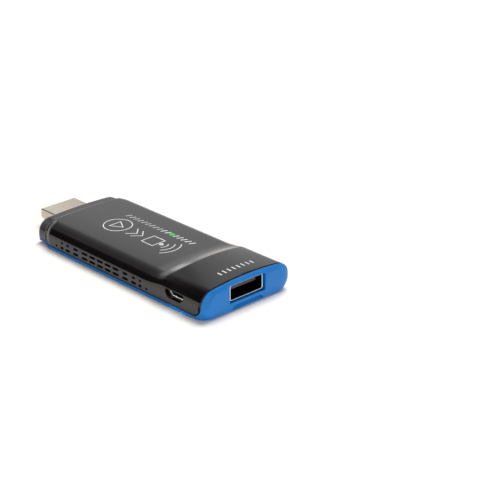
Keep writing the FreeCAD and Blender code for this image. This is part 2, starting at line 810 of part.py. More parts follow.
def make_radio():
    deck = block("wifi_board", (wifi_x, wifi_y), board_top, (dim.wifi_side, dim.wifi_side, dim.wifi_board))
    deck_top = board_top + dim.wifi_board
    side = dim.wifi_side - dim.can_margin * 2
    outer = block("can_outer", (wifi_x, wifi_y), deck_top, (side, side, dim.can_height))
    room = side - dim.can_wall * 2
    inner = block("can_inner", (wifi_x, wifi_y), deck_top, (room, room, dim.can_height - dim.can_wall))
    can = cut("wifi_shield", outer, inner)
    radio = block("wifi_chip", (wifi_x, wifi_y), deck_top, (dim.radio_side, dim.radio_side, dim.radio_height))
    antenna = block("wifi_antenna", (wifi_x, board_half - dim.antenna_width * 2), board_top,
                    (dim.antenna_len, dim.antenna_width, dim.antenna_height))
    return [deck, can, radio, antenna]


def make_small_parts():
    crystal = (dim.crystal_len, dim.crystal_width, dim.crystal_height)
    cpu_edge = dim.processor_side / 2
    clock_y = cpu_edge + dim.crystal_width * 1.5
    crystals = [
        block("crystal_clock", (processor_x, -clock_y), board_top, crystal),
        block("crystal_radio", (wifi_x, dim.crystal_width), board_top, crystal),
    ]
    coils = []
    coil_x = processor_x - cpu_edge - dim.coil_side * 2
    for index in range(3):
        y = -(dim.coil_side + dim.coil_space) * index - dim.coil_space
        coils.append(block(f"coil_{index}", (coil_x, y), board_top,
                           (dim.coil_side, dim.coil_side, dim.coil_height)))
    chip = (dim.chip_width, dim.chip_len, dim.chip_height)
    capacitors = [block(f"capacitor_{index}", (processor_x + dim.chip_pitch * (index - 2.5), clock_y),
                        board_top, chip) for index in range(6)]
    resistor = (dim.chip_width, dim.chip_len, dim.chip_height / 2)
    first = memory_end + dim.chip_len
    resistors = [block(f"resistor_{index}", (first, dim.chip_pitch * (index + 2)), board_top, resistor)
                 for index in range(4)]
    filters = [block(f"filter_{index}", (board_start + dim.board_grip * 2, dim.filter_pitch * (index - 1.5)),
                     board_top, (dim.filter_len, dim.filter_width, dim.filter_height))
               for index in range(4)]
    fuse_x = x_crest - dim.fuse_len
    fuse_part = block("usb_fuse", (fuse_x, dim.fuse_width * 3), board_top,
                      (dim.fuse_len, dim.fuse_width, dim.fuse_height))
    return [group("crystals", crystals), group("inductors", coils), group("capacitors", capacitors),
            group("resistors", resistors), group("hdmi_filters", filters), fuse_part]


# Reset switch behind the pin hole in the far side

def make_switch():
    switch_x = x_main + dim.switch_place
    front = board_half - dim.switch_edge
    axis_z = board_top + dim.switch_height / 2
    case = block("switch_case", (switch_x, front - dim.switch_depth / 2), board_top,
                 (dim.switch_width, dim.switch_depth, dim.switch_height))
    along_y = Rotation(Vector(1, 0, 0), -90)
    bore = cylinder("switch_bore", (switch_x, front - dim.bore_deep, axis_z),
                    dim.plunger_radius + dim.plunger_gap, dim.bore_deep, along_y)
    body = cut("reset_switch", case, bore)
    plunger = cylinder("reset_plunger", (switch_x, front + dim.plunger_out - dim.plunger_len, axis_z),
                       dim.plunger_radius, dim.plunger_len, along_y)
    return [body, plunger]


pieces = [make_upper_shell(), make_lower_shell()]
for make in (make_hdmi_plug, make_usb_port, make_micro_port, make_board, make_chips, make_radio,
             make_small_parts, make_switch):
    pieces.extend(make())
for piece in pieces:
    piece.Label = piece.Name
doc.recompute()

failed = [item.Name for item in doc.Objects if "Invalid" in item.State or "Error" in item.State]
if failed:
    raise SystemExit(f"failed objects: {failed}")
for piece in pieces:
    if piece.Shape.isNull() or not piece.Shape.isValid():
        raise SystemExit(f"bad shape: {piece.Label}")

os.makedirs("parts", exist_ok=True)
for piece in pieces:
    piece.Shape.exportStep(f"parts/{piece.Label}.step")
    print(piece.Label, len(piece.Shape.Solids), round(piece.Shape.Volume, 2))
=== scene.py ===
import math

import bmesh
import bpy
import numpy as np
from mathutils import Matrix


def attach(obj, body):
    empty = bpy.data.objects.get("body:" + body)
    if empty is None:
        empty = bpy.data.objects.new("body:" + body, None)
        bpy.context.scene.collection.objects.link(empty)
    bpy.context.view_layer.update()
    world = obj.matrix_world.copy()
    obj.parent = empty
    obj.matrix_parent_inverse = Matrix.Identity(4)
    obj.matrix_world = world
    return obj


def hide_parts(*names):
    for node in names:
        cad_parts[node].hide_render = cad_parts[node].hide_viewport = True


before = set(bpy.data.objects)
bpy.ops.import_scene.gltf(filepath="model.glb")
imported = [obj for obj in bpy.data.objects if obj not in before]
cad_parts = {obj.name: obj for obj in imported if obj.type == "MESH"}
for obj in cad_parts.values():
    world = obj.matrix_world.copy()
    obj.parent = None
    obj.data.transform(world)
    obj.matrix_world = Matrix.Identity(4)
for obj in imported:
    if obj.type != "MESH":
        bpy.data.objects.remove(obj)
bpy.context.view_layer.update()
mm = 0.001
rightAngle = math.pi / 2
print("frame loaded")


# Sizes are in millimetres, in the frame of the solids: X along the stick, plug at -X, Z up.

# Distances under which points are one and edges are nothing, and the angle from which an edge stays sharp.
meshing = {"sameSpot": 0.002, "noEdge": 0.001, "sharpAngle": 30}


# Quads between neighbouring rows of a grid of points; wrap joins the last column to the first.
def gridQuads(rows, columns, wrap=False):
    across = columns if wrap else columns - 1
    row, column = np.meshgrid(np.arange(rows - 1), np.arange(across), indexing="ij")
    following = (column + 1) % columns
    quads = np.stack([row * columns + column, row * columns + following,
                      (row + 1) * columns + following, (row + 1) * columns + column], axis=-1)
    return quads.reshape(-1, 4)


# Quads that join the last row of a wrapped grid back to its first row.
def closingQuads(rows, columns):
    column = np.arange(columns)
    following = (column + 1) % columns
    last = (rows - 1) * columns
    return np.stack([last + column, last + following, following, column], axis=-1)


# Shades a mesh smooth, with sharp edges where two faces meet at more than the given angle.
def shadeMesh(mesh, angle=meshing["sharpAngle"]):
    mesh.shade_smooth()
    mesh.set_sharp_from_angle(angle=math.radians(angle))


# Puts points and faces into a mesh object, welds doubled points and turns the faces outwards.
def makePiece(name, points, faces, angle=meshing["sharpAngle"]):
    mesh = bpy.data.meshes.new(name)
    places = np.asarray(points, float).reshape(-1, 3) * mm
    mesh.from_pydata(places.tolist(), [], [list(face) for face in faces])
    work = bmesh.new()
    work.from_mesh(mesh)
    bmesh.ops.remove_doubles(work, verts=work.verts, dist=meshing["sameSpot"] * mm)
    bmesh.ops.dissolve_degenerate(work, edges=work.edges, dist=meshing["noEdge"] * mm)
    bmesh.ops.recalc_face_normals(work, faces=work.faces)
    work.to_mesh(mesh)
    work.free()
    shadeMesh(mesh, angle)
    piece = bpy.data.objects.new(name, mesh)
    bpy.context.collection.objects.link(piece)
    return piece


# Cuts or joins one solid with others by an exact boolean, and keeps only the result.
def combine(piece, tools, operation):
    for tool in tools:
        step = piece.modifiers.new("combine", "BOOLEAN")
        step.operation = operation
        step.solver = "EXACT"
        step.object = tool
    graph = bpy.context.evaluated_depsgraph_get()
    result = bpy.data.meshes.new_from_object(piece.evaluated_get(graph))
    result.name = piece.name
    piece.modifiers.clear()
    piece.data = result
    for tool in tools:
        bpy.data.objects.remove(tool)
    shadeMesh(result)
    return piece


# Closed outline with its corners rounded: each corner becomes a quadratic curve between the two points
# that lie a set distance from it along its sides.
def roundOutline(corners, reach, steps=6):
    corner = np.asarray(corners, float)
    before, after = np.roll(corner, 1, axis=0) - corner, np.roll(corner, -1, axis=0) - corner
    start = corner + before / np.linalg.norm(before, axis=1, keepdims=True) * reach
    end = corner + after / np.linalg.norm(after, axis=1, keepdims=True) * reach
    t = np.linspace(0, 1, steps + 1)[None, :, None]
    curve = (1 - t) ** 2 * start[:, None] + 2 * t * (1 - t) * corner[:, None] + t ** 2 * end[:, None]
    return curve.reshape(-1, 2)


def rectangleOutline(half, low, high, corner):
    return roundOutline([(-half, low), (half, low), (half, high), (-half, high)], corner)


# Puts flat outlines (u, v) at places s along an axis: x means (s, u, v), y means (u, s, v).
def placeRings(outlines, places, axis):
    outlines = np.asarray(outlines, float)
    s = np.broadcast_to(np.asarray(places, float)[:, None], outlines.shape[:2])
    u, v = outlines[..., 0], outlines[..., 1]
    order = {"x": (s, u, v), "y": (u, s, v)}[axis]
    return np.stack(order, axis=-1)


# Solid through a row of rings with flat ends.
def ringSolid(name, rings):
    rows, columns = rings.shape[:2]
    faces = gridQuads(rows, columns, wrap=True).tolist()
    faces.append(list(range(columns)))
    faces.append(list(range((rows - 1) * columns, rows * columns)))
    return makePiece(name, rings, faces)


tubeLip = {"turn": (0, 30, 60, 90, 120, 150, 180), "behind": 0.12, "sharpAngle": 35}


# Sheet metal tube: the outer outline runs to the open end, turns over a rounded lip and runs back inside.
# One ring close behind the lip on each side keeps its rounding out of the shading of the long flat faces.
def sheetTube(name, outer, inner, axis, back, front):
    outer, inner = np.asarray(outer, float), np.asarray(inner, float)
    direction = math.copysign(1, front - back)
    lip = np.linalg.norm(outer - inner, axis=1).min() / 2
    turn = np.radians(tubeLip["turn"])
    share = ((1 - np.cos(turn)) / 2)[:, None, None]
    lipRings = outer[None] * (1 - share) + inner[None] * share
    lipPlaces = front - direction * lip * (1 - np.sin(turn))
    behind = front - direction * (lip + tubeLip["behind"])
    outlines = np.concatenate([outer[None], outer[None], lipRings, inner[None], inner[None]])
    places = np.concatenate([[back, behind], lipPlaces, [behind, back]])
    rings = placeRings(outlines, places, axis)
    rows, columns = rings.shape[:2]
    faces = np.concatenate([gridQuads(rows, columns, wrap=True), closingQuads(rows, columns)])
    return makePiece(name, rings, faces.tolist(), tubeLip["sharpAngle"])


# Block between two corners with rounded edges.
def softBlock(name, low, high, edge, segments=3):
    low, high = np.asarray(low, float), np.asarray(high, float)
    pick = np.array([[0, 0, 0], [1, 0, 0], [1, 1, 0], [0, 1, 0], [0, 0, 1], [1, 0, 1], [1, 1, 1], [0, 1, 1]])
    points = low + pick * (high - low)
    faces = [(0, 3, 2, 1), (4, 5, 6, 7), (0, 1, 5, 4), (1, 2, 6, 5), (2, 3, 7, 6), (3, 0, 4, 7)]
    piece = makePiece(name, points, faces)
    bevel = piece.modifiers.new("edges", "BEVEL")
    bevel.width = edge * mm
    bevel.segments = segments
    bevel.harden_normals = True
    return piece


# Arc points as (radius cos, radius sin) round a centre, one row for each centre.
def arcRows(centreY, centreZ, radius, start, end, count):
    t = np.linspace(0, 1, count)[None, :]
    angle = start + (end - start) * t
    return np.stack([centreY + radius * np.cos(angle), centreZ + radius * np.sin(angle)], axis=-1)


# Straight runs between two columns of points, without the last point.
def lineRows(y0, z0, y1, z1, count):
    t = np.linspace(0, 1, count, endpoint=False)[None, :]
    return np.stack([y0 + (y1 - y0) * t, z0 + (z1 - z0) * t], axis=-1)


# The numbers of a row of sections as columns.
def asColumns(*numbers):
    return [np.asarray(number, float).reshape(-1, 1) for number in numbers]


# Points on each arc and straight run of a section of the casing.
sectionPoints = {"lip": 4, "foot": 10, "bottom": 8, "side": 7, "closedSide": 5, "corner": 22, "arch": 22}


# Corner arc of the corner radius and half of a shallow arc of the arch radius, whose joint lies at the swing
# where both have the same slope.
def cornerAndArch(half, roll, middle, corner, arch, swing):
    joint = rightAngle + swing
    cornerArc = arcRows(corner - half, roll, corner, 2 * rightAngle, joint, sectionPoints["corner"])
    archHalf = arcRows(0 * half, middle, arch, joint, rightAngle, sectionPoints["arch"])
    return [cornerArc, archHalf[:, 1:]]


# Cross section of the casing from its near lower edge, over the top, to its far lower edge: a small lip arc,
# a flat side, the corner arc and half of the arch; then the mirror of it.
def openSection(half, top, low, corner, arch, lip):
    half, top, low, corner, arch, lip = asColumns(half, top, low, corner, arch, lip)
    swing = np.arcsin((half - corner) / (arch - corner))
    middle = top - arch
    roll = np.maximum(middle + (arch - corner) * np.cos(swing), low + lip)
    near = np.concatenate([
        arcRows(lip - half, low + lip, lip, 3 * rightAngle, 2 * rightAngle, sectionPoints["lip"]),
        lineRows(-half, low + lip, -half, roll, sectionPoints["side"])[:, 1:],
        *cornerAndArch(half, roll, middle, corner, arch, swing),
    ], axis=1)
    far = near[:, -2::-1] * np.array([-1, 1])
    return np.concatenate([near, far], axis=1)


# Closed casing section from the middle of its bottom: foot arc, side, corner arc, arch, and the mirror of it.
def closedSection(half, top, low, corner, arch, foot):
    half, top, low, corner, arch, foot = asColumns(half, top, low, corner, arch, foot)
    swing = np.arcsin((half - corner) / (arch - corner))
    middle = top - arch
    roll = middle + (arch - corner) * np.cos(swing)
    near = np.concatenate([
        lineRows(0 * half, low, foot - half, low, sectionPoints["bottom"]),
        arcRows(foot - half, low + foot, foot, 3 * rightAngle, 2 * rightAngle, sectionPoints["foot"]),
        lineRows(-half, low + foot, -half, roll, sectionPoints["closedSide"])[:, 1:],
        *cornerAndArch(half, roll, middle, corner, arch, swing),
    ], axis=1)
    far = near[:, -2:0:-1] * np.array([-1, 1])
    return np.concatenate([near, far], axis=1)


# Smooth step from 0 to 1 between two places.
def smoothStep(value, start, end):
    t = np.clip((value - start) / (end - start), 0, 1)
    return t * t * (3 - 2 * t)


# Places between two ends, with a gap left at each of them.
def stretch(start, end, gaps, count):
    return np.linspace(start + gaps[0], end - gaps[1], count)


shell = {
    "noseX": -34.6, "stepX": -30.3, "rampX": 21.5, "crestX": 29.0, "backX": 44.28,
    "half": 17.4, "noseHalf": 16.75, "noseFront": 16.35, "top": 8.8, "noseTop": 8.1, "rise": 1.9,
    "low": 1.36, "noseSeam": 1.75, "seamStep": (0.7, 1.3),
    "corner": 4.6, "mainArch": 200.0, "humpArch": 62.0, "backArch": 105.0, "backDrop": 0.55, "wall": 1.3,
    "noseRound": 0.6, "round": 0.5, "leastRound": 0.1, "shoulder": 3.0, "shoulderStep": 0.02,
    "backRound": 0.95, "rampBlend": 5.5, "crestRound": 0.35,
    "slant": 0.6, "slantStart": (14.0, 0.5), "slantEnd": 0.6,
    "lip": 0.2, "innerLip": 0.05,
    "cornerX": 40.4, "cornerZ": 5.1, "cornerRadius": 3.74,
}

# Lean of the joint with the end cap: where it sets in, where it ends, and how far x moves per height.
jointLean = {"start": (37.0, 43.0), "end": (44.6, 45.4), "slope": 0.085}

# Stations of the shell's rows: for each stretch the gaps left at its two ends and the number of rows, and for
# each rounding its angles in degrees.
shellStations = {
    "face": (0, 0.35, 0.7, 0.9, 1.0), "turn": (15, 90, 6), "neck": ((1.2, 0.5), 4),
    "step": ((0.25, 0.0), (0.06, -0.05)), "shoulder": ((0.12, -0.2), 12), "main": ((1.5, 1.2), 16),
    "ramp": ((-0.5, 0.1), 24), "crest": ((0.0, 0.0), 9), "hump": ((0.8, 0.0), 9),
    "swing": (8, 66, 8), "back": (0, 22, 45, 67, 90),
}


# Height gained along the ramp: a parabola that reaches the ramp's slope, a straight run, and a short parabola
# that rounds the crest.
def rampRise(x):
    s = shell
    slope = s["rise"] / (s["crestX"] - s["rampX"] - s["rampBlend"] / 2)
    along = x - s["rampX"]
    concave = slope * np.clip(along, 0, s["rampBlend"]) ** 2 / (2 * s["rampBlend"])
    straight = concave + slope * np.maximum(along - s["rampBlend"], 0)
    left = s["crestX"] + s["crestRound"] - x
    crest = s["rise"] - slope * np.clip(left, 0, None) ** 2 / (4 * s["crestRound"])
    return np.where(left > 2 * s["crestRound"], straight, np.where(left > 0, crest, s["rise"]))


# Lower edge of the black shell: higher at the nose, level along the seam, then a quarter circle up to the
# end cap.
def shellLow(x):
    s = shell
    reach = np.clip(x - s["cornerX"], 0, s["cornerRadius"])
    start, end = s["seamStep"]
    nose = (s["noseSeam"] - s["low"]) * (1 - smoothStep(x, s["stepX"] + start, s["stepX"] + end))
    return s["cornerZ"] - np.sqrt(s["cornerRadius"] ** 2 - reach ** 2) + nose


# The joint with the end cap leans back a little: above the middle of the end, x grows with height.
def endLean(x, z):
    share = smoothStep(x, *jointLean["start"]) * (1 - smoothStep(x, *jointLean["end"]))
    return jointLean["slope"] * np.maximum(z - shell["cornerZ"], 0) * share


# Stations of one face of the shell as five rows of numbers: x, half width, height of the top, how much the
# rounding takes off, and the scale towards the foot, which closes the nose.
def shellStationRows(inset):
    s, rows = shell, shellStations
    edge = max(s["round"] - inset, s["leastRound"])
    noseEdge = max(s["noseRound"] - inset, s["leastRound"])
    backEdge = s["backRound"] if inset == 0 else 0.0
    turn, swing = (np.radians(np.linspace(*rows[key])) for key in ("turn", "swing"))
    back = np.radians(rows["back"])
    stepGap, stepCut = np.array(rows["step"]).T
    noseX, stepX, bodyX = s["noseX"] + inset, s["stepX"] + inset, s["stepX"] + s["shoulder"]
    crestStart, crestEnd = s["crestX"] - s["crestRound"], s["crestX"] + s["crestRound"]
    along = [
        stretch(bodyX, s["rampX"], *rows["main"]),
        stretch(s["rampX"], crestStart, *rows["ramp"]),
        stretch(crestStart, crestEnd, *rows["crest"]),
        stretch(s["crestX"], s["cornerX"], *rows["hump"]),
        s["cornerX"] + s["cornerRadius"] * np.sin(swing),
    ]
    nose, body = (s["noseHalf"], s["noseTop"]), (s["half"], s["top"])
    blocks = [
        (noseX, *nose, noseEdge, np.array(rows["face"])),
        (noseX + noseEdge * (1 - np.cos(turn)), *nose, noseEdge * (1 - np.sin(turn)), 1.0),
        (stretch(s["noseX"], s["stepX"], *rows["neck"]) + inset, *nose, 0.0, 1.0),
        (stepX - stepGap, *nose, stepCut, 1.0),
        (stepX + edge * (1 - np.cos(turn)), *body, edge * (1 - np.sin(turn)), 1.0),
        (stepX + stretch(s["round"], s["shoulder"], *rows["shoulder"]), *body, 0.0, 1.0),
        (np.concatenate(along), *body, 0.0, 1.0),
        (s["backX"] - s["backRound"] * (1 - np.sin(back)), *body, backEdge * (1 - np.cos(back)), 1.0),
    ]
    return np.concatenate([np.stack(np.broadcast_arrays(*block)) for block in blocks], axis=1)


# Rows of points over one face of the shell. Each row is a cross section at a station; the ones over the nose
# are scaled towards its foot, and those near the ramp lean back with height so that the crest slants.
def shellRows(inset):
    s = shell
    x, half, top, cut, scale = shellStationRows(inset)
    taper = (s["noseHalf"] - s["noseFront"]) * np.clip((s["stepX"] - x) / (s["stepX"] - s["noseX"]), 0, 1)
    reach = np.clip(s["shoulder"] - (x - s["stepX"]), 0, s["shoulder"])
    shoulderCut = s["shoulder"] - np.sqrt(s["shoulder"] ** 2 - reach ** 2)
    bodyHalf = np.maximum(half - shoulderCut, s["noseHalf"] + s["shoulderStep"])
    half = np.where(half > s["noseHalf"], bodyHalf, half - taper)

    rise = rampRise(x)
    share = rise / s["rise"]
    behind = np.clip((x - s["crestX"]) / (s["backX"] - s["crestX"]), 0, 1)
    top = top - s["backDrop"] * behind
    humpBend = (1 - behind) / s["humpArch"] + behind / s["backArch"]
    arch = 1 / ((1 - share) / s["mainArch"] + share * humpBend)
    less = inset + cut
    lip = s["lip"] if inset == 0 else s["innerLip"]
    section = openSection(half - less, top + rise - less, shellLow(x), s["corner"] - less, arch - less, lip)
    y = section[..., 0] * scale[:, None]
    z = s["low"] + (section[..., 1] - s["low"]) * scale[:, None]
    before, near = s["slantStart"]
    fade = smoothStep(x, s["rampX"] - before, s["rampX"] - near)
    fade = fade * (1 - smoothStep(x, s["crestX"] + s["slantEnd"], s["cornerX"]))
    lean = -s["slant"] * (s["top"] + s["rise"] - z) * fade[:, None]
    return np.stack([x[:, None] + lean + endLean(x[:, None], z), y, z], axis=-1)


# Closed solid from the outer and the inner rows: they join at the end cap, and a strip closes the lower edge.
def makeShell():
    outer, inner = shellRows(0.0), shellRows(shell["wall"])
    rows, columns = outer.shape[:2]
    points = np.concatenate([outer, inner[::-1]])
    faces = [gridQuads(2 * rows, columns)]
    row = np.arange(rows - 1)
    for column in (0, columns - 1):
        out, back = row * columns + column, (2 * rows - 1 - row) * columns + column
        faces.append(np.stack([out, out + columns, back - columns, back], axis=-1))
    return makePiece("blackShell", points, np.concatenate(faces).tolist())


# Each flank is an offset from the middle of the vents and the slot's length in the lower and the upper row.
vents = {
    "middleX": -1.7, "pitch": 3.8, "length": 2.9, "height": 0.65, "rows": (2.55, 4.2), "chamfer": 0.1,
    "middleSlots": range(-2, 3),
    "flanks": ((12.1, 2.6, 2.2), (16.1, 2.2, 1.4), (19.1, 1.5, 0.9), (22.0, 0.8, 0.0)),
}
microWindow = {
    "middleX": 32.85, "width": 7.9, "low": 3.25, "high": 5.85, "slope": 1.15, "corner": 0.5, "chamfer": 0.12,
}
pinHole = {"x": -17.0, "z": 4.4, "radius": 0.6, "y": (15.0, 18.5)}
plugSlot = {"half": 7.1, "low": 0.9, "high": 5.8, "corner": 0.4, "reach": (-1.0, 2.0)}
sideCut = {"depth": 2.2, "leastReach": 0.01, "turnPoints": 9}


# Stadium outline: two half circles of half the height, joined by straight runs.
def stadium(x, z, length, height, grow=0.0):
    radius = height / 2 + grow
    reach = max((length - height) / 2, sideCut["leastReach"])
    turn = np.linspace(-rightAngle, rightAngle, sideCut["turnPoints"])
    right = np.stack([x + reach + radius * np.cos(turn), z + radius * np.sin(turn)], axis=1)
    left = np.stack([x - reach - radius * np.cos(turn), z - radius * np.sin(turn)], axis=1)
    return np.concatenate([right, left])


# Micro USB outline, wide at the top with sloping lower corners.
def microCorners(x, width, low, high, slope):
    side = width / 2
    return [(x - side, high), (x - side, low + slope), (x - side + slope, low),
            (x + side - slope, low), (x + side, low + slope), (x + side, high)]


# Cutter whose mouth opens by the chamfer where it meets the near side.
def sideCutter(name, outline, wide, chamfer):
    near = -shell["half"]
    rings = placeRings([wide, (wide + outline) / 2, outline, outline],
                       [near - chamfer, near, near + chamfer, near + sideCut["depth"]], "y")
    return ringSolid(name, rings)


# Places and lengths of all vent slots: even ones in the middle, shorter ones towards both ends.
def ventSlots():
    v = vents
    slots = [(v["middleX"] + v["pitch"] * step, row, v["length"])
             for step in v["middleSlots"] for row in v["rows"]]
    for offset, *lengths in v["flanks"]:
        slots += [(v["middleX"] + offset * side, row, length)
                  for side in (-1, 1) for row, length in zip(v["rows"], lengths) if length]
    return slots


def cutShell(piece):
    cutters = []
    for number, (x, z, length) in enumerate(ventSlots()):
        plain = stadium(x, z, length, vents["height"])
        wide = stadium(x, z, length, vents["height"], 2 * vents["chamfer"])
        cutters.append(sideCutter(f"slot{number}", plain, wide, vents["chamfer"]))
    w = microWindow
    more = 2 * w["chamfer"]
    corners = microCorners(w["middleX"], w["width"], w["low"], w["high"], w["slope"])
    grown = microCorners(w["middleX"], w["width"] + 2 * more, w["low"] - more, w["high"] + more, w["slope"])
    plain, wide = (roundOutline(outline, w["corner"]) for outline in (corners, grown))
    cutters.append(sideCutter("microMouth", plain, wide, w["chamfer"]))
    hole = stadium(pinHole["x"], pinHole["z"], 0.0, pinHole["radius"] * 2)
    cutters.append(ringSolid("pinMouth", placeRings([hole, hole], pinHole["y"], "y")))
    p = plugSlot
    slot = rectangleOutline(p["half"], p["low"], p["high"], p["corner"])
    ends = [shell["noseX"] + reach for reach in p["reach"]]
    cutters.append(ringSolid("plugMouth", placeRings([slot, slot], ends, "x")))
    return combine(piece, [combine(cutters[0], cutters[1:], "UNION")], "DIFFERENCE")


# The front edges of the nose and of the body are rounded: rows as (way behind the edge, inset of the side).
tray = {
    "noseX": -34.4, "stepX": -29.3, "stepGap": 0.01, "endX": 44.6,
    "half": 17.4, "noseHalf": 16.3, "noseLow": 0.6, "noseSeam": 1.5, "seam": 1.08,
    "foot": 0.45, "leastFoot": 0.3, "footShare": 0.8, "capFoot": 4.0, "edge": 0.2, "wall": 1.3,
    "cornerX": 40.4, "cornerZ": 5.1, "cornerRadius": 4.02,
    "noseEdge": ((0, 0.3), (0.05, 0.16), (0.14, 0.06), (0.25, 0.015), (0.4, 0)), "noseUnder": 0.5,
    "bodyEdge": ((0, 0.6), (0.08, 0.35), (0.22, 0.16), (0.45, 0.04), (0.8, 0)), "bodyUnder": 0.4,
    "run": ((2.0, 1.0), 10), "swing": (0, 88, 22),
}
trayPoints = {"bottom": 4, "foot": 7, "side": 4, "edge": 5, "wall": 4, "floor": 4}


# Closed cross section of the tray: flat bottom, rounded foot, side, small top edge, wall top, inner wall and
# floor.
def traySection(half, low, high, foot):
    t, points = tray, trayPoints
    half, low, high, foot = asColumns(half, low, high, foot)
    edge = t["edge"] + 0 * half
    floor = np.minimum(high, t["seam"])
    near = np.concatenate([
        lineRows(0 * half, low, foot - half, low, points["bottom"]),
        arcRows(foot - half, low + foot, foot, 3 * rightAngle, 2 * rightAngle, points["foot"]),
        lineRows(-half, low + foot, -half, high - edge, points["side"])[:, 1:],
        arcRows(edge - half, high - edge, edge, 2 * rightAngle, rightAngle, points["edge"]),
        lineRows(t["wall"] - half, high, t["wall"] - half, floor - meshing["noEdge"], points["wall"]),
        lineRows(t["wall"] - half, floor, 0 * half, floor, points["floor"]),
    ], axis=1)
    middle = np.stack([0 * half, floor], axis=-1)
    far = near[:, ::-1] * np.array([-1, 1])
    return np.concatenate([near, middle, far[:, :-1]], axis=1)


def makeTray():
    t = tray
    nose, noseInset = np.array(t["noseEdge"]).T
    step, stepInset = np.array(t["bodyEdge"]).T
    swing = np.radians(np.linspace(*t["swing"]))
    rear = np.concatenate([
        stretch(t["stepX"], t["cornerX"], *t["run"]),
        t["cornerX"] + t["cornerRadius"] * np.sin(swing),
        [t["cornerX"] + t["cornerRadius"], t["endX"]],
    ])
    x = [t["noseX"] + nose, [t["stepX"] - t["stepGap"]], t["stepX"] + step, rear]
    half = [t["noseHalf"] - noseInset, [t["noseHalf"]], t["half"] - stepInset, t["half"] + 0 * rear]
    low = [t["noseLow"] + noseInset * t["noseUnder"], [t["noseLow"]], stepInset * t["bodyUnder"], 0 * rear]
    x, half, low = (np.concatenate(parts) for parts in (x, half, low))
    reach = np.clip(x - t["cornerX"], 0, t["cornerRadius"])
    nosePart = np.where(x < t["stepX"], t["noseSeam"] - t["seam"], 0)
    high = t["cornerZ"] - np.sqrt(t["cornerRadius"] ** 2 - reach ** 2) + nosePart
    foot = np.clip(t["footShare"] * (high - low), t["leastFoot"], t["capFoot"])
    foot = np.minimum(foot, np.where(x < t["cornerX"], t["foot"], t["capFoot"]))
    section = traySection(half, low, high, foot)
    return ringSolid("blueTray", placeRings(section, x, "x"))


# Each section is half width, top, bottom, corner radius, arch radius and foot radius. lip says how far each
# number of the lip is from the outer section, and inset how each changes for 1 mm inwards. backEdge holds the
# inset and the way forward of the rear edge, step the share from band to plate and the rise of x.
cap = {
    "lipX": 43.2, "backX": 44.4, "faceX": 45.8,
    "lip": (-1.45, -1.45, 0.6, -1.45, -1.45, -0.435), "inset": (-1, -1, 1, -1, -1, -0.6),
    "outer": (17.4, 10.15, 0.0, 4.6, 105.0, 4.2),
    "band": (15.65, 8.85, 0.5, 3.9, 120.0, 3.5),
    "plate": (15.35, 8.6, 0.75, 3.6, 130.0, 3.2),
    "bandX": 45.48, "softX": 45.7, "centreZ": 4.9, "footLean": 0.06,
    "backEdge": ((0.09, 0.0), (0.03, 0.03), (0.0, 0.09)),
    "rim": 0.3, "rimX": 0.2, "rimTurn": (0, 18, 36, 54, 68), "rimCut": 0.62, "rimReach": 0.93,
    "crown": (0.1, 1.0, 10), "crownPower": 1.7, "softPower": 2.4, "softShare": 0.8,
    "step": ((0.25, 0.02), (0.5, 0.09), (0.72, 0.19), (0.9, 0.275), (1.15, 0.315), (1.5, 0.32)),
    "stepHeights": (4.6, 6.8), "faceScales": (0.93, 0.8, 0.6, 0.3, 0.0),
    "overWindow": {"y": (7.3, 8.8), "z": (7.6, 8.4)},
}
usbWindow = {
    "half": 7.15, "low": 3.05, "high": 8.5, "corner": 0.45, "chamfer": 0.2, "depth": 4.0,
    "mouth": ((0.0, -1.0), (0.4, -0.4), (1.0, -0.05), (8 / 3, 1.5)),
}
notch = {
    "half": 5.5, "flare": 1.2, "high": 2.05, "depth": 1.5, "footDepth": 0.3, "below": -0.2, "corner": 0.3,
    "mouth": 0.25, "mouthHigh": 0.2, "mouthX": (-0.12, 0.2),
}


# Rings of the end cap, each as its section, its x where the step shows, its x where the face is soft, and its
# scale towards the centre: from a point behind the cap, over the lip, the rim and a slightly crowned band to
# the flat plate, and in to a point on the face.
def capRings():
    c = cap
    outer, band, plate, inwards = (np.array(c[key]) for key in ("outer", "band", "plate", "inset"))
    lip, rimX = outer + np.array(c["lip"]), c["backX"] + c["rimX"]
    rings = [(lip, c["lipX"], c["lipX"], scale) for scale in (0.0, 0.5, 1.0)]
    rings.append((lip, c["backX"], c["backX"], 1.0))
    for inset, ahead in c["backEdge"]:
        x = c["backX"] + ahead
        rings.append((outer + inwards * inset, x, x, 1.0))
    for turn in np.radians(c["rimTurn"]):
        x = rimX + c["rim"] * math.sin(turn)
        rings.append((outer + inwards * c["rim"] * (1 - math.cos(turn)), x, x, 1.0))
    start, startX = outer + inwards * c["rim"] * c["rimCut"], rimX + c["rim"] * c["rimReach"]
    softFull = 1 - (1 - c["softShare"]) ** c["softPower"]
    for share in np.linspace(*c["crown"]):
        crown = 1 - (1 - share) ** c["crownPower"]
        softCrown = (1 - (1 - c["softShare"] * share) ** c["softPower"]) / softFull
        x, softX = startX + (c["bandX"] - startX) * crown, startX + (c["softX"] - startX) * softCrown
        rings.append((start + (band - start) * share, x, softX, 1.0))
    last = c["step"][-1][0]
    for share, rise in c["step"]:
        softX = c["softX"] + (c["faceX"] - c["softX"]) * share / last
        rings.append((band + (plate - band) * share, c["bandX"] + rise, softX, 1.0))
    rings += [(band + (plate - band) * last, c["faceX"], c["faceX"], scale) for scale in c["faceScales"]]
    return rings


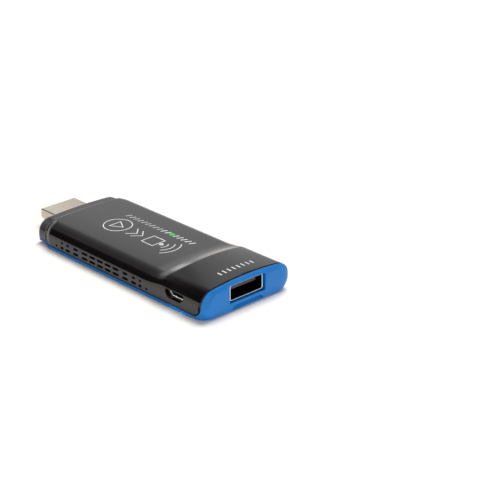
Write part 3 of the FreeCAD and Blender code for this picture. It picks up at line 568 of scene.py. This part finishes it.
# End cap through its rings. The step is there at the upper edges beside the window; lower down the band rises
# to the plate in one soft curve, and over the window the face stays level with the band.
def makeCap():
    c = cap
    sections, places, softPlaces, scales = (np.array(column) for column in zip(*capRings()))
    section = closedSection(*sections.T)
    y = section[..., 0] * scales[:, None]
    z = c["centreZ"] + (section[..., 1] - c["centreZ"]) * scales[:, None]
    stepShare = smoothStep(z, *c["stepHeights"])
    x = places[:, None] * stepShare + softPlaces[:, None] * (1 - stepShare)
    over = c["overWindow"]
    level = (1 - smoothStep(np.abs(y), *over["y"])) * smoothStep(z, *over["z"])
    x = x - np.maximum(x - c["bandX"], 0) * level
    below = c["footLean"] * np.maximum(c["centreZ"] - z, 0) * smoothStep(x, *jointLean["end"])
    points = np.stack([x + endLean(x, z) - below, y, z], axis=-1)
    return makePiece("blueCap", points, gridQuads(*points.shape[:2], wrap=True).tolist())


# Cuts the window, whose mouth is rounded outwards, and the notch in the foot of the face.
def cutCap(piece):
    w, n, face = usbWindow, notch, cap["faceX"]
    grow, places = w["chamfer"] * np.array(w["mouth"]).T
    outlines = [rectangleOutline(w["half"] + more, w["low"] - more, w["high"] + more, w["corner"])
                for more in (0.0, *grow)]
    window = ringSolid("windowMouth", placeRings(outlines, [face - w["depth"], *(face + places)], "x"))
    wide, low, high = n["half"] + n["flare"], n["below"], n["high"]
    deep = [(-n["half"], high), (-wide, low), (wide, low), (n["half"], high)]
    grown = [(y + math.copysign(n["mouth"], y), z + n["mouthHigh"] * (z == high)) for y, z in deep]
    inner, outer = roundOutline(deep, n["corner"]), roundOutline(grown, n["corner"])
    back, front = n["mouthX"]
    rings = placeRings([inner, inner, outer], [face - n["depth"], face + back, face + front], "x")
    rings[0, :, 0] -= (n["footDepth"] - n["depth"]) * (1 - rings[0, :, 2] / high)
    return combine(piece, [window, ringSolid("notchMouth", rings)], "DIFFERENCE")


blackShell = cutShell(makeShell())
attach(blackShell, "stick")
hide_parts("upper_shell")
print("black shell", len(blackShell.data.polygons))

blueShell = cutCap(combine(makeCap(), [makeTray()], "UNION"))
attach(blueShell, "stick")
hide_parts("lower_shell")
print("blue shell", len(blueShell.data.polygons))


hdmiPlug = {
    "backX": -28.4, "frontX": -45.8, "half": 6.95, "low": 1.175, "high": 5.625,
    "slopeIn": 1.25, "slopeUp": 1.6, "sheet": 0.35, "corner": 0.5, "leastCorner": 0.15,
}
usbPort = {
    "backX": 31.1, "frontX": 45.05, "half": 6.6, "low": 3.45, "high": 8.4, "sheet": 0.3, "corner": 0.7,
    "tongueHalf": 5.55, "tongueLow": 5.91, "tongueHigh": 7.75, "tongueX": 43.2, "tongueRear": 0.2,
    "tongueEdge": 0.22, "shadeX": 44.6,
    "rearX": 35.6, "rearHalf": 6.2, "rearGap": 0.4, "rearStart": 0.1, "rearEdge": 0.2,
}
microPort = {
    "middleX": 32.9, "width": 7.4, "low": 3.4, "high": 5.9, "slope": 1.0, "sheet": 0.25, "corner": 0.3,
    "innerCorner": 0.2, "frontY": -15.8, "backY": -10.6, "backDepth": 1.2, "shadeY": 13.6,
    "tongueHalf": 1.8, "tongueLow": 4.65, "tongueHigh": 5.25, "tongueY": -15.2, "tongueEdge": 0.12,
    "collarGap": 0.03, "collarSide": 0.8, "collarUnder": 0.8, "collarOver": 0.45, "collarY": (-15.35, -15.98),
}


# Plug outline, wide at the top with sloping lower corners.
def plugOutline(inset):
    p = hdmiPlug
    half, low, high, slope = p["half"] - inset, p["low"] + inset, p["high"] - inset, p["slopeIn"]
    corners = [(-half, high), (-half, low + p["slopeUp"]), (-half + slope, low), (half - slope, low),
               (half, low + p["slopeUp"]), (half, high)]
    return roundOutline(corners, max(p["corner"] - inset, p["leastCorner"]))


# Micro USB outline grown at each side, below and above.
def microOutline(side, under, over, corner):
    m = microPort
    low, high = m["low"] - under, m["high"] + over
    return roundOutline(microCorners(m["middleX"], m["width"] + 2 * side, low, high, m["slope"]), corner)


# Fastens a piece to the stick, and hides the CAD node that it stands for, if there is one.
def addPiece(piece, node=None):
    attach(piece, "stick")
    if node:
        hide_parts(node)
    return piece


def makePlugShell():
    p = hdmiPlug
    tube = sheetTube("plugShell", plugOutline(0.0), plugOutline(p["sheet"]), "x", p["backX"], p["frontX"])
    return addPiece(tube, "hdmi_plug_shell")


def makeUsbShell():
    u, sheet = usbPort, usbPort["sheet"]
    outer = rectangleOutline(u["half"], u["low"], u["high"], u["corner"])
    inner = rectangleOutline(u["half"] - sheet, u["low"] + sheet, u["high"] - sheet, u["corner"] - sheet)
    tube = sheetTube("usbShell", outer, inner, "x", u["backX"], u["frontX"])
    return addPiece(tube, "usb_a_shell")


# Tongue that carries the contacts, and the block that closes the port behind it.
def makeUsbInside():
    u = usbPort
    tongue = softBlock("usbTongue", (u["backX"] + u["tongueRear"], -u["tongueHalf"], u["tongueLow"]),
                       (u["tongueX"], u["tongueHalf"], u["tongueHigh"]), u["tongueEdge"])
    rear = softBlock("usbRear", (u["backX"] + u["rearStart"], -u["rearHalf"], u["low"] + u["rearGap"]),
                     (u["rearX"], u["rearHalf"], u["high"] - u["rearGap"]), u["rearEdge"])
    addPiece(tongue, "usb_a_tongue")
    addPiece(rear)
    return tongue, rear


def makeMicroShell():
    m, sheet = microPort, microPort["sheet"]
    outer, inner = microOutline(0, 0, 0, m["corner"]), microOutline(-sheet, -sheet, -sheet, m["innerCorner"])
    tube = sheetTube("microShell", outer, inner, "y", m["backY"], m["frontY"])
    return addPiece(tube, "micro_usb_shell")


# Tongue, back wall and a black collar of painted shade that fills the gap between the port and the window in
# the casing.
def makeMicroInside():
    m = microPort
    tongue = softBlock("microTongue", (m["middleX"] - m["tongueHalf"], m["tongueY"], m["tongueLow"]),
                       (m["middleX"] + m["tongueHalf"], m["backY"], m["tongueHigh"]), m["tongueEdge"])
    inset = -m["sheet"] / 2
    wall = microOutline(inset, inset, inset, m["innerCorner"])
    back = ringSolid("microBack", placeRings([wall, wall], [m["backY"] - m["backDepth"], m["backY"]], "y"))
    gap = m["collarGap"]
    hole = microOutline(gap, gap, gap, m["corner"])
    edge = microOutline(m["collarSide"], m["collarUnder"], m["collarOver"], m["corner"])
    # The collar is painted shade: a black sheet that stands where there would only be shade.
    collar = sheetTube("microShadeCollar", edge, hole, "y", *m["collarY"])
    addPiece(tongue, "micro_usb_tongue")
    for piece in (back, collar):
        addPiece(piece)
    return tongue, back, collar


plugShell = makePlugShell()
usbShell = makeUsbShell()
microShell = makeMicroShell()
microTongue, microBack, microShadeCollar = makeMicroInside()
usbTongue, usbRear = makeUsbInside()
print("connectors")


inkMarks = {"stroke": 0.3, "lift": 0.015, "sink": 0.08, "leastCosine": 0.4}


# Height of an arched top at a place across it.
def topHeight(y, top, arch):
    return top - arch + np.sqrt(arch ** 2 - y ** 2)


# Printed line along a path: at each point the two edges lie half a stroke to each side, along the mean normal
# of the neighbouring runs, widened where the path turns.
def inkStroke(path, width, top, arch, closed=False):
    path = np.asarray(path, float)
    if closed:
        ahead, behind = np.roll(path, -1, axis=0), np.roll(path, 1, axis=0)
    else:
        ahead = np.concatenate([path[1:], 2 * path[-1:] - path[-2:-1]])
        behind = np.concatenate([2 * path[:1] - path[1:2], path[:-1]])
    after, before = ahead - path, path - behind
    after /= np.linalg.norm(after, axis=1, keepdims=True)
    before /= np.linalg.norm(before, axis=1, keepdims=True)
    mean = after + before
    mean /= np.linalg.norm(mean, axis=1, keepdims=True)
    normal, square = (np.stack([-run[:, 1], run[:, 0]], axis=1) for run in (mean, after))
    cosine = np.clip((normal * square).sum(axis=1, keepdims=True), inkMarks["leastCosine"], 1)
    edge = normal * width / 2 / cosine
    left, right, lift, sink = path + edge, path - edge, inkMarks["lift"], -inkMarks["sink"]
    corners = [(left, sink), (left, lift), (right, lift), (right, sink)]
    ring = [np.column_stack([side, topHeight(side[:, 1], top, arch) + up]) for side, up in corners]
    points = np.stack(ring, axis=1)
    rows = len(path)
    if closed:
        ends = closingQuads(rows, 4)
    else:
        ends = np.array([[3, 2, 1, 0], np.arange(4) + (rows - 1) * 4])
    return points.reshape(-1, 3), np.concatenate([gridQuads(rows, 4, wrap=True), ends])


# Several printed lines, each a path, a width and whether it closes, as one piece on an arched top.
def inkPiece(name, strokes, top=shell["top"], arch=shell["mainArch"]):
    points, faces, count = [], [], 0
    for path, width, closed in strokes:
        linePoints, lineFaces = inkStroke(path, width, top, arch, closed)
        points.append(linePoints)
        faces.append(lineFaces + count)
        count += len(linePoints)
    piece = makePiece(name, np.concatenate(points), np.concatenate(faces).tolist())
    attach(piece, "stick")
    return piece


# Straight path divided evenly, so that the print follows the curve of the top.
def straight(start, end, count=12):
    t = np.linspace(0, 1, count)[:, None]
    return np.array(start) * (1 - t) + np.array(end) * t


# Arc round a point, from one angle to another in degrees; a full turn leaves out the doubled end.
def arc(x, y, radius, start=0, end=360, count=64):
    turn = np.radians(np.linspace(start, end, count, endpoint=end - start < 360))
    return np.stack([x + radius * np.cos(turn), y + radius * np.sin(turn)], axis=1)


# Path through corners, each side divided evenly; an open one ends at the last corner.
def polyline(corners, closed=True, count=8):
    corner = np.asarray(corners, float)
    t = np.linspace(0, 1, count, endpoint=False)[None, :, None]
    following = np.roll(corner, -1, axis=0)
    path = (corner[:, None] * (1 - t) + following[:, None] * t).reshape(-1, 2)
    return path if closed else path[:1 - count]


# Play sign in a ring, two chevrons, a screen, and a dot with three waves: sizes and the places along the row.
bigRow = {
    "startX": -16.2, "endX": 16.0, "lowY": -6.6, "highY": 2.6, "play": (-1.4, 2.5, 2.3), "chevron": 2.6,
    "chevrons": (2.2, 4.8), "screen": 10.0, "screenSize": 5.2, "wave": 6.6, "waves": (2.2, 4.2, 6.2),
    "waveAngle": 46, "wavePoints": 28, "dot": 0.5, "dotPoints": 24,
}
smallRow = {
    "startX": -15.6, "endX": 15.4, "lowY": 4.5, "highY": 6.4, "pitch": 1.9, "lean": 1.0,
    "thin": 0.28, "bold": 0.48, "boldFrom": 9, "green": 11, "dot": 0.5, "dotStroke": 0.9, "dotPoints": 32,
}
humpRow = {
    "x": 38.7, "startY": -5.6, "endY": 7.2, "height": 1.9, "count": 8, "stroke": 0.42, "points": 4,
    "lift": 0.02,
}


def makeBigMarks():
    r, stroke = bigRow, inkMarks["stroke"]
    y, tall = (r["lowY"] + r["highY"]) / 2, r["highY"] - r["lowY"]
    ringX, ringEnd = r["startX"] + tall / 2, r["startX"] + tall
    back, tip, side = r["play"]
    strokes = [
        (arc(ringX, y, tall / 2), stroke, True),
        (polyline([(ringX + back, y - side), (ringX + tip, y), (ringX + back, y + side)]), stroke, True),
    ]
    reach = r["chevron"]
    for x in (ringEnd + place for place in r["chevrons"]):
        path = polyline([(x, y - reach), (x + reach, y), (x, y + reach)], closed=False)
        strokes.append((path, stroke, False))
    left, size = ringEnd + r["screen"], r["screenSize"]
    low, high = y - size / 2, y + size / 2
    corners = [(left, low), (left + size, low), (left + size, high), (left, high)]
    strokes.append((polyline(corners), stroke, True))
    x, angle = r["endX"] - r["wave"], r["waveAngle"]
    strokes.append((arc(x, y, r["dot"], count=r["dotPoints"]), r["dot"], True))
    strokes += [(arc(x, y, wave, -angle, angle, r["wavePoints"]), stroke, False) for wave in r["waves"]]
    return inkPiece("bigMarks", strokes)


# Row of slanting tallies, thin and then bold, with a green dot in place of one of them.
def makeSmallMarks():
    r, strokes = smallRow, []
    places = np.arange(r["startX"], r["endX"], r["pitch"])
    for number, x in enumerate(places):
        if number != r["green"]:
            width = r["bold"] if number >= r["boldFrom"] else r["thin"]
            strokes.append((straight((x, r["lowY"]), (x + r["lean"], r["highY"])), width, False))
    tallies = inkPiece("smallMarks", strokes)
    dotX, dotY = places[r["green"]] + r["lean"] / 2, (r["lowY"] + r["highY"]) / 2
    dot = arc(dotX, dotY, r["dot"], count=r["dotPoints"])
    return tallies, inkPiece("greenMark", [(dot, r["dotStroke"], True)])


# Row of tallies over the hump, on the top and the arch that the shell has there.
def makeHumpMarks():
    r, s = humpRow, shell
    strokes = [(straight((r["x"], y), (r["x"] + r["height"], y), r["points"]), r["stroke"], False)
               for y in np.linspace(r["startY"], r["endY"], r["count"])]
    behind = (r["x"] + r["height"] / 2 - s["crestX"]) / (s["backX"] - s["crestX"])
    top = s["top"] + s["rise"] - s["backDrop"] * behind + r["lift"]
    return inkPiece("humpMarks", strokes, top, 1 / ((1 - behind) / s["humpArch"] + behind / s["backArch"]))


bigMarks = makeBigMarks()
smallMarks, greenMark = makeSmallMarks()
humpMarks = makeHumpMarks()
print("print marks")


# Node of a kind, with its settings and its input values.
def addNode(tree, kind, values=None, **settings):
    node = tree.nodes.new(kind)
    for key, value in settings.items():
        setattr(node, key, value)
    for key, value in (values or {}).items():
        node.inputs[key].default_value = value
    return node


# Noise on Object coordinates, stretched along an axis for brushed metal.
def noiseOn(tree, scale, stretched, detail):
    place = addNode(tree, "ShaderNodeTexCoord")
    mapping = addNode(tree, "ShaderNodeMapping", {"Scale": stretched})
    noise = addNode(tree, "ShaderNodeTexNoise", {"Scale": scale, "Detail": detail})
    tree.links.new(place.outputs["Object"], mapping.inputs["Vector"])
    tree.links.new(mapping.outputs["Vector"], noise.inputs["Vector"])
    return noise


# What a finish has unless its own entry says otherwise. Noise scales are per metre.
plainFinish = {
    "stretch": (1, 1, 1), "broad": 300, "fine": 6000, "bump": 0.05,
    "metal": 0.0, "ior": 1.5, "tint": (1.0, 1.0, 1.0),
    "broadDetail": 3.0, "fineDetail": 2.0, "colourStops": (0.3, 0.7), "bumpHeight": 0.0001,
}


# Finish with two close colours mixed by a soft noise, roughness that varies between two values, and a fine
# bump.
def makeFinish(name, settings):
    look = {**plainFinish, **settings}
    material = bpy.data.materials.new(name)
    material.use_nodes = True
    tree = material.node_tree
    surface = tree.nodes["Principled BSDF"]
    broad = noiseOn(tree, look["broad"], look["stretch"], look["broadDetail"])
    fine = noiseOn(tree, look["fine"], look["stretch"], look["fineDetail"])
    ramp = addNode(tree, "ShaderNodeValToRGB")
    for element, position, colour in zip(ramp.color_ramp.elements, look["colourStops"], look["colours"]):
        element.position = position
        element.color = (*colour, 1)
    tree.links.new(broad.outputs["Fac"], ramp.inputs["Fac"])
    tree.links.new(ramp.outputs["Color"], surface.inputs["Base Color"])
    rough = addNode(tree, "ShaderNodeMapRange", {"To Min": look["rough"][0], "To Max": look["rough"][1]})
    tree.links.new(fine.outputs["Fac"], rough.inputs["Value"])
    tree.links.new(rough.outputs["Result"], surface.inputs["Roughness"])
    bump = addNode(tree, "ShaderNodeBump", {"Strength": look["bump"], "Distance": look["bumpHeight"]})
    tree.links.new(fine.outputs["Fac"], bump.inputs["Height"])
    tree.links.new(bump.outputs["Normal"], surface.inputs["Normal"])
    surface.inputs["Metallic"].default_value = look["metal"]
    surface.inputs["IOR"].default_value = look["ior"]
    surface.inputs["Specular Tint"].default_value = (*look["tint"], 1)
    return material


finishes = {
    "glossBlack": {"colours": ((0.0038, 0.0032, 0.0034), (0.0050, 0.0042, 0.0044)), "rough": (0.075, 0.115),
                   "bump": 0.02, "broad": 120, "tint": (1.0, 0.94, 0.985)},
    "satinBlue": {"colours": ((0.002, 0.143, 0.445), (0.004, 0.157, 0.485)), "rough": (0.20, 0.30),
                  "bump": 0.08, "broad": 200, "ior": 1.36},
    "plugNickel": {"colours": ((0.47, 0.415, 0.34), (0.53, 0.468, 0.386)), "rough": (0.10, 0.17),
                   "bump": 0.1, "metal": 1.0, "stretch": (1, 0.08, 1), "broad": 1500},
    "portChrome": {"colours": ((0.80, 0.80, 0.82), (0.90, 0.90, 0.92)), "rough": (0.12, 0.22),
                   "bump": 0.03, "metal": 1.0},
    "portSatin": {"colours": ((0.70, 0.70, 0.71), (0.80, 0.80, 0.81)), "rough": (0.3, 0.4),
                  "bump": 0.03, "metal": 0.3},
    # Painted shade: dark metal for the inner walls of the ports, which are really the same metal as their
    # outsides.
    "paintedPortShade": {"colours": ((0.05, 0.05, 0.052), (0.07, 0.07, 0.072)), "rough": (0.3, 0.45),
                  "bump": 0.1, "metal": 1.0},
    "darkInsulator": {"colours": ((0.035, 0.030, 0.028), (0.05, 0.043, 0.040)), "rough": (0.45, 0.6),
                      "bump": 0.15},
    "contactGold": {"colours": ((0.83, 0.60, 0.26), (0.90, 0.68, 0.33)), "rough": (0.18, 0.3),
                    "bump": 0.03, "metal": 1.0},
    "chipBlack": {"colours": ((0.014, 0.014, 0.015), (0.022, 0.022, 0.023)), "rough": (0.5, 0.65),
                  "bump": 0.3, "fine": 9000},
    "padRubber": {"colours": ((0.23, 0.25, 0.28), (0.28, 0.30, 0.33)), "rough": (0.7, 0.85), "bump": 0.4},
    "spreaderAluminium": {"colours": ((0.72, 0.73, 0.74), (0.82, 0.83, 0.84)), "rough": (0.25, 0.4),
                          "bump": 0.15, "metal": 1.0, "stretch": (0.06, 1, 1)},
    "canTin": {"colours": ((0.62, 0.62, 0.60), (0.72, 0.72, 0.70)), "rough": (0.22, 0.36),
               "bump": 0.08, "metal": 1.0, "stretch": (1, 0.1, 1)},
    "ceramic": {"colours": ((0.42, 0.31, 0.20), (0.52, 0.40, 0.27)), "rough": (0.4, 0.55),
                "bump": 0.2, "broad": 2500},
    "coilGrey": {"colours": ((0.06, 0.06, 0.063), (0.09, 0.09, 0.093)), "rough": (0.5, 0.7), "bump": 0.3},
    "whiteInk": {"colours": ((0.72, 0.72, 0.73), (0.80, 0.80, 0.80)), "rough": (0.5, 0.6), "bump": 0.1},
    "greenInk": {"colours": ((0.03, 0.52, 0.06), (0.05, 0.60, 0.09)), "rough": (0.5, 0.6), "bump": 0.1},
    "plungerGrey": {"colours": ((0.05, 0.05, 0.055), (0.07, 0.07, 0.075)), "rough": (0.4, 0.5), "bump": 0.1},
}
materials = {name: makeFinish(name, settings) for name, settings in finishes.items()}

solderMask = {
    "finish": {"colours": ((0.006, 0.065, 0.028), (0.009, 0.085, 0.036)), "rough": (0.25, 0.4), "bump": 0.1},
    "cells": {"Scale": 620.0, "Randomness": 0.55}, "edge": {"From Min": 0.36, "From Max": 0.4},
    "inside": (0.006, 0.07, 0.03, 1), "outside": (0.02, 0.16, 0.06, 1),
}


# Circuit board: green solder mask with paler copper runs under it. A pattern of square cells gives the
# distance to each cell's middle, and the runs are where that distance is large.
def makeBoardFinish():
    material = makeFinish("solderMask", solderMask["finish"])
    tree = material.node_tree
    surface = tree.nodes["Principled BSDF"]
    place = addNode(tree, "ShaderNodeTexCoord")
    cells = addNode(tree, "ShaderNodeTexVoronoi", solderMask["cells"], distance="CHEBYCHEV", feature="F1")
    tree.links.new(place.outputs["Object"], cells.inputs["Vector"])
    runs = addNode(tree, "ShaderNodeMapRange", solderMask["edge"])
    tree.links.new(cells.outputs["Distance"], runs.inputs["Value"])
    colour = addNode(tree, "ShaderNodeMix", data_type="RGBA")
    colour.inputs["A"].default_value = solderMask["inside"]
    colour.inputs["B"].default_value = solderMask["outside"]
    tree.links.new(runs.outputs["Result"], colour.inputs["Factor"])
    tree.links.new(colour.outputs["Result"], surface.inputs["Base Color"])
    return material


materials["solderMask"] = makeBoardFinish()


def dress(thing, finish):
    thing.data.materials.clear()
    thing.data.materials.append(materials[finish])


# Second finish on the inner walls of a tube, behind its lip: the faces that look at the middle of the tube.
def dressInside(piece, finish, axis, limit, centre):
    mesh = piece.data
    mesh.materials.append(materials[finish])
    middle, normal = np.zeros(len(mesh.polygons) * 3), np.zeros(len(mesh.polygons) * 3)
    mesh.polygons.foreach_get("center", middle)
    mesh.polygons.foreach_get("normal", normal)
    middle, normal = middle.reshape(-1, 3) / mm, normal.reshape(-1, 3)
    inward = ((middle - np.array(centre)) * normal).sum(axis=1) < 0
    slots = (inward & (np.abs(middle[:, axis]) < limit)).astype(int)
    mesh.polygons.foreach_set("material_index", slots)
    mesh.update()


pieceFinishes = (
    (blackShell, "glossBlack"), (blueShell, "satinBlue"), (plugShell, "plugNickel"), (usbShell, "portChrome"),
    (microShell, "portSatin"), (usbTongue, "darkInsulator"), (usbRear, "chipBlack"),
    # The collar's black is painted shade.
    (microTongue, "darkInsulator"), (microBack, "chipBlack"), (microShadeCollar, "chipBlack"),
    (bigMarks, "whiteInk"), (smallMarks, "whiteInk"), (greenMark, "greenInk"), (humpMarks, "whiteInk"),
)
for piece, finish in pieceFinishes:
    dress(piece, finish)


# Painted shade on the inner walls of the two ports: a dark metal in place of their own, told from the outer
# ones by the middle of each tube.
def shadePorts():
    u, m = usbPort, microPort
    usbCentre = ((u["backX"] + u["frontX"]) / 2, 0.0, (u["low"] + u["high"]) / 2)
    microCentre = (m["middleX"], (m["backY"] + m["frontY"]) / 2, (m["low"] + m["high"]) / 2)
    dressInside(usbShell, "paintedPortShade", 0, u["shadeX"], usbCentre)
    dressInside(microShell, "paintedPortShade", 1, m["shadeY"], microCentre)


shadePorts()

nodeFinishes = {
    "hdmi_plug_core": "chipBlack", "hdmi_contacts": "contactGold", "usb_a_contacts": "contactGold",
    "micro_usb_contacts": "contactGold", "main_board": "solderMask", "wifi_board": "solderMask",
    "processor": "chipBlack", "memory_chips": "chipBlack", "flash_chip": "chipBlack",
    "power_chip": "chipBlack", "wifi_chip": "chipBlack", "thermal_pad": "padRubber",
    "heat_spreader": "spreaderAluminium",
    "wifi_shield": "canTin", "crystals": "canTin", "wifi_antenna": "ceramic", "capacitors": "ceramic",
    "resistors": "chipBlack", "hdmi_filters": "coilGrey", "usb_fuse": "ceramic", "inductors": "coilGrey",
    "reset_switch": "chipBlack", "reset_plunger": "plungerGrey",
}
for node, finish in nodeFinishes.items():
    dress(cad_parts[node], finish)
print("materials", len(materials))


floorPaper = {"size": 6000, "colour": (0.92, 0.885, 0.85, 1), "rough": 0.9}


# Floor: pale matt paper that keeps the shadow.
def makeFloor():
    size = floorPaper["size"]
    mesh = bpy.data.meshes.new("floor")
    corners = np.array([(-size, -size, 0), (size, -size, 0), (size, size, 0), (-size, size, 0)]) * mm
    mesh.from_pydata(corners.tolist(), [], [(0, 1, 2, 3)])
    floor = bpy.data.objects.new("floor", mesh)
    bpy.context.collection.objects.link(floor)
    material = bpy.data.materials.new("floorPaper")
    material.use_nodes = True
    surface = material.node_tree.nodes["Principled BSDF"]
    surface.inputs["Base Color"].default_value = floorPaper["colour"]
    surface.inputs["Roughness"].default_value = floorPaper["rough"]
    surface.inputs["Specular IOR Level"].default_value = 0.0
    mesh.materials.append(material)


makeFloor()

worldLevel = {"light": 0.32, "seen": 1.0}


# World: white where the camera, reflections or glass look at it, and a lower level for the light it gives.
def makeWorld():
    world = bpy.data.worlds.new("studio")
    bpy.context.scene.world = world
    world.use_nodes = True
    tree = world.node_tree
    back = tree.nodes["Background"]
    back.inputs["Color"].default_value = (1, 1, 1, 1)
    path = addNode(tree, "ShaderNodeLightPath")
    seen = path.outputs["Is Camera Ray"]
    for kind in ("Is Glossy Ray", "Is Transmission Ray"):
        either = addNode(tree, "ShaderNodeMath", operation="MAXIMUM")
        tree.links.new(seen, either.inputs[0])
        tree.links.new(path.outputs[kind], either.inputs[1])
        seen = either.outputs[0]
    level = addNode(tree, "ShaderNodeMapRange", {"To Min": worldLevel["light"], "To Max": worldLevel["seen"]})
    tree.links.new(seen, level.inputs["Value"])
    tree.links.new(level.outputs["Result"], back.inputs["Strength"])


makeWorld()


# Studio card seen only in reflections: half a tunnel round the X axis, from the near to the far horizon. Its
# glow follows the angle round the axis in degrees, dark low on the near side and pale at the far side: one
# profile where the main top looks, a darker one where the hump looks, and a third over the cap, dark only
# where its rim looks. Towards the plug it turns into a bright wall. Its places along X, as in farX, are in
# metres.
flag = {
    "radius": 300.0, "plugEnd": -3000.0, "capEnd": 1000.0, "halfTurn": 180.0, "columns": 90, "peak": 2.5,
    "glow": ((0, 0.02), (42, 0.03), (49, 0.2), (56, 0.38), (72, 0.33), (96, 0.44), (112, 0.53), (128, 0.7),
             (136, 0.95), (141, 1.0), (147, 0.96), (153, 0.86), (162, 0.8), (180, 0.8)),
    "hump": ((0, 0.0), (52, 0.0), (66, 0.02), (80, 0.04), (94, 0.14), (104, 0.26), (114, 0.3), (121, 0.38),
             (128, 0.82), (136, 0.93), (150, 0.93), (165, 0.82), (180, 0.8)),
    "cap": ((0, 0.7), (60, 0.75), (108, 0.75), (120, 0.2), (158, 0.2), (166, 0.75), (180, 0.8)),
    "wall": ((0, 0.3), (33, 0.7), (54, 0.9), (75, 1.3), (90, 1.6), (117, 1.95), (130, 2.15), (150, 2.4),
             (164, 2.2), (172, 1.6), (180, 1.3)),
    "far": 1.0, "farX": (-0.64, -0.52), "wallX": (-0.44, -0.398),
    "humpX": (-0.253, -0.24), "capX": (-0.192, -0.176),
}


# Sum, product or other operation on one or two values, each a number or a node's output.
def maths(tree, operation, first, second=None):
    node = addNode(tree, "ShaderNodeMath", operation=operation)
    for number, value in enumerate((first, second)):
        if isinstance(value, (int, float)):
            node.inputs[number].default_value = value
        elif value is not None:
            tree.links.new(value, node.inputs[number])
    return node.outputs[0]


# Smooth step from 0 to 1 between two limits.
def between(tree, value, limits):
    values = {"From Min": limits[0], "From Max": limits[1]}
    node = addNode(tree, "ShaderNodeMapRange", values, interpolation_type="SMOOTHSTEP")
    tree.links.new(value, node.inputs["Value"])
    return node.outputs["Result"]


# Level over a half turn, through stops of degrees and level; the ramp holds shares of the peak.
def profile(tree, value, stops):
    peak = flag["peak"]
    node = addNode(tree, "ShaderNodeValToRGB")
    elements = node.color_ramp.elements
    while len(elements) < len(stops):
        elements.new(0.5)
    for element, (degrees, level) in zip(elements, stops):
        element.position = degrees / flag["halfTurn"]
        element.color = (level / peak, level / peak, level / peak, 1)
    tree.links.new(value, node.inputs["Fac"])
    return maths(tree, "MULTIPLY", node.outputs["Color"], peak)


# Mix of two values by a share.
def blend(tree, first, second, share):
    rest = maths(tree, "SUBTRACT", 1.0, share)
    return maths(tree, "ADD", maths(tree, "MULTIPLY", first, rest), maths(tree, "MULTIPLY", second, share))


# Glow of the card: emission by the angle round the X axis and the place along it.
def makeFlagCloth():
    material = bpy.data.materials.new("flagCloth")
    material.use_nodes = True
    tree = material.node_tree
    tree.nodes.remove(tree.nodes["Principled BSDF"])
    place = addNode(tree, "ShaderNodeTexCoord")
    axes = addNode(tree, "ShaderNodeSeparateXYZ")
    tree.links.new(place.outputs["Object"], axes.inputs[0])
    x = axes.outputs["X"]
    angle = maths(tree, "ARCTAN2", axes.outputs["Z"], maths(tree, "MULTIPLY", axes.outputs["Y"], -1.0))
    turned = maths(tree, "DIVIDE", angle, math.pi)
    glow = profile(tree, turned, flag["glow"])
    for part in ("hump", "cap"):
        glow = blend(tree, glow, profile(tree, turned, flag[part]), between(tree, x, flag[part + "X"]))
    beyond = maths(tree, "SUBTRACT", 1.0, between(tree, x, flag["farX"]))
    wall = blend(tree, profile(tree, turned, flag["wall"]), flag["far"], beyond)
    glow = blend(tree, glow, wall, maths(tree, "SUBTRACT", 1.0, between(tree, x, flag["wallX"])))
    light = addNode(tree, "ShaderNodeEmission")
    tree.links.new(glow, light.inputs["Strength"])
    tree.links.new(light.outputs[0], tree.nodes["Material Output"].inputs["Surface"])
    return material


def makeFlag():
    radius, columns = flag["radius"], flag["columns"]
    turn = np.radians(np.linspace(0, flag["halfTurn"], columns))
    along = np.array([flag["plugEnd"], flag["capEnd"]])[:, None]
    points = np.stack(np.broadcast_arrays(along, -radius * np.cos(turn), radius * np.sin(turn)), axis=-1)
    card = makePiece("flagCard", points, gridQuads(2, columns).tolist())
    card.data.materials.append(makeFlagCloth())
    card.visible_camera = False
    card.visible_diffuse = False
    card.visible_shadow = False
    card.visible_transmission = False


makeFlag()

lamps = {
    "key": {"kind": "SUN", "place": (-75, 190, 520), "aim": (0, 0, 0), "spread": 34.0, "strength": 2.8},
    "fill": {"kind": "AREA", "place": (640, -260, 150), "aim": (0, 0, 0), "size": 420, "strength": 2.3},
    "port": {"kind": "SPOT", "place": (-191, -259, 82), "aim": (33.2, -17.4, 4.6), "spread": 1.05,
             "strength": 17.0, "bulb": 4.0},
}


# Lamp turned to its aim and hidden from reflections; the sun is soft through the width of its disc.
def addLamp(name, lamp):
    data = bpy.data.lights.new(name, lamp["kind"])
    if lamp["kind"] == "SUN":
        data.angle = math.radians(lamp["spread"])
    elif lamp["kind"] == "SPOT":
        data.spot_size = math.radians(lamp["spread"])
        data.spot_blend = 1.0
        data.shadow_soft_size = lamp["bulb"] * mm
    else:
        data.shape = "DISK"
        data.size = lamp["size"] * mm
    data.energy = lamp["strength"]
    holder = bpy.data.objects.new(name, data)
    bpy.context.collection.objects.link(holder)
    holder.location = [value * mm for value in lamp["place"]]
    x, y, z = np.array(lamp["place"]) - np.array(lamp["aim"])
    holder.rotation_euler = (math.atan2(math.hypot(x, y), z), 0, math.atan2(y, x) + rightAngle)
    holder.visible_glossy = False


for name, lamp in lamps.items():
    addLamp(name, lamp)

view = {
    "place": (325.476, -266.438, 190.509), "azimuth": 46.3136, "elevation": 24.061,
    "lens": 105.942, "sensor": 36, "nearest": 10, "farthest": 20000,
}


def addCamera():
    lens = bpy.data.cameras.new("photoView")
    lens.lens = view["lens"]
    lens.sensor_width = view["sensor"]
    lens.clip_start, lens.clip_end = view["nearest"] * mm, view["farthest"] * mm
    camera = bpy.data.objects.new("photoView", lens)
    bpy.context.collection.objects.link(camera)
    camera.location = [value * mm for value in view["place"]]
    camera.rotation_euler = (math.radians(90 - view["elevation"]), 0, math.radians(view["azimuth"]))
    bpy.context.scene.camera = camera


addCamera()
bpy.context.scene.view_settings.view_transform = "Standard"
print("studio")
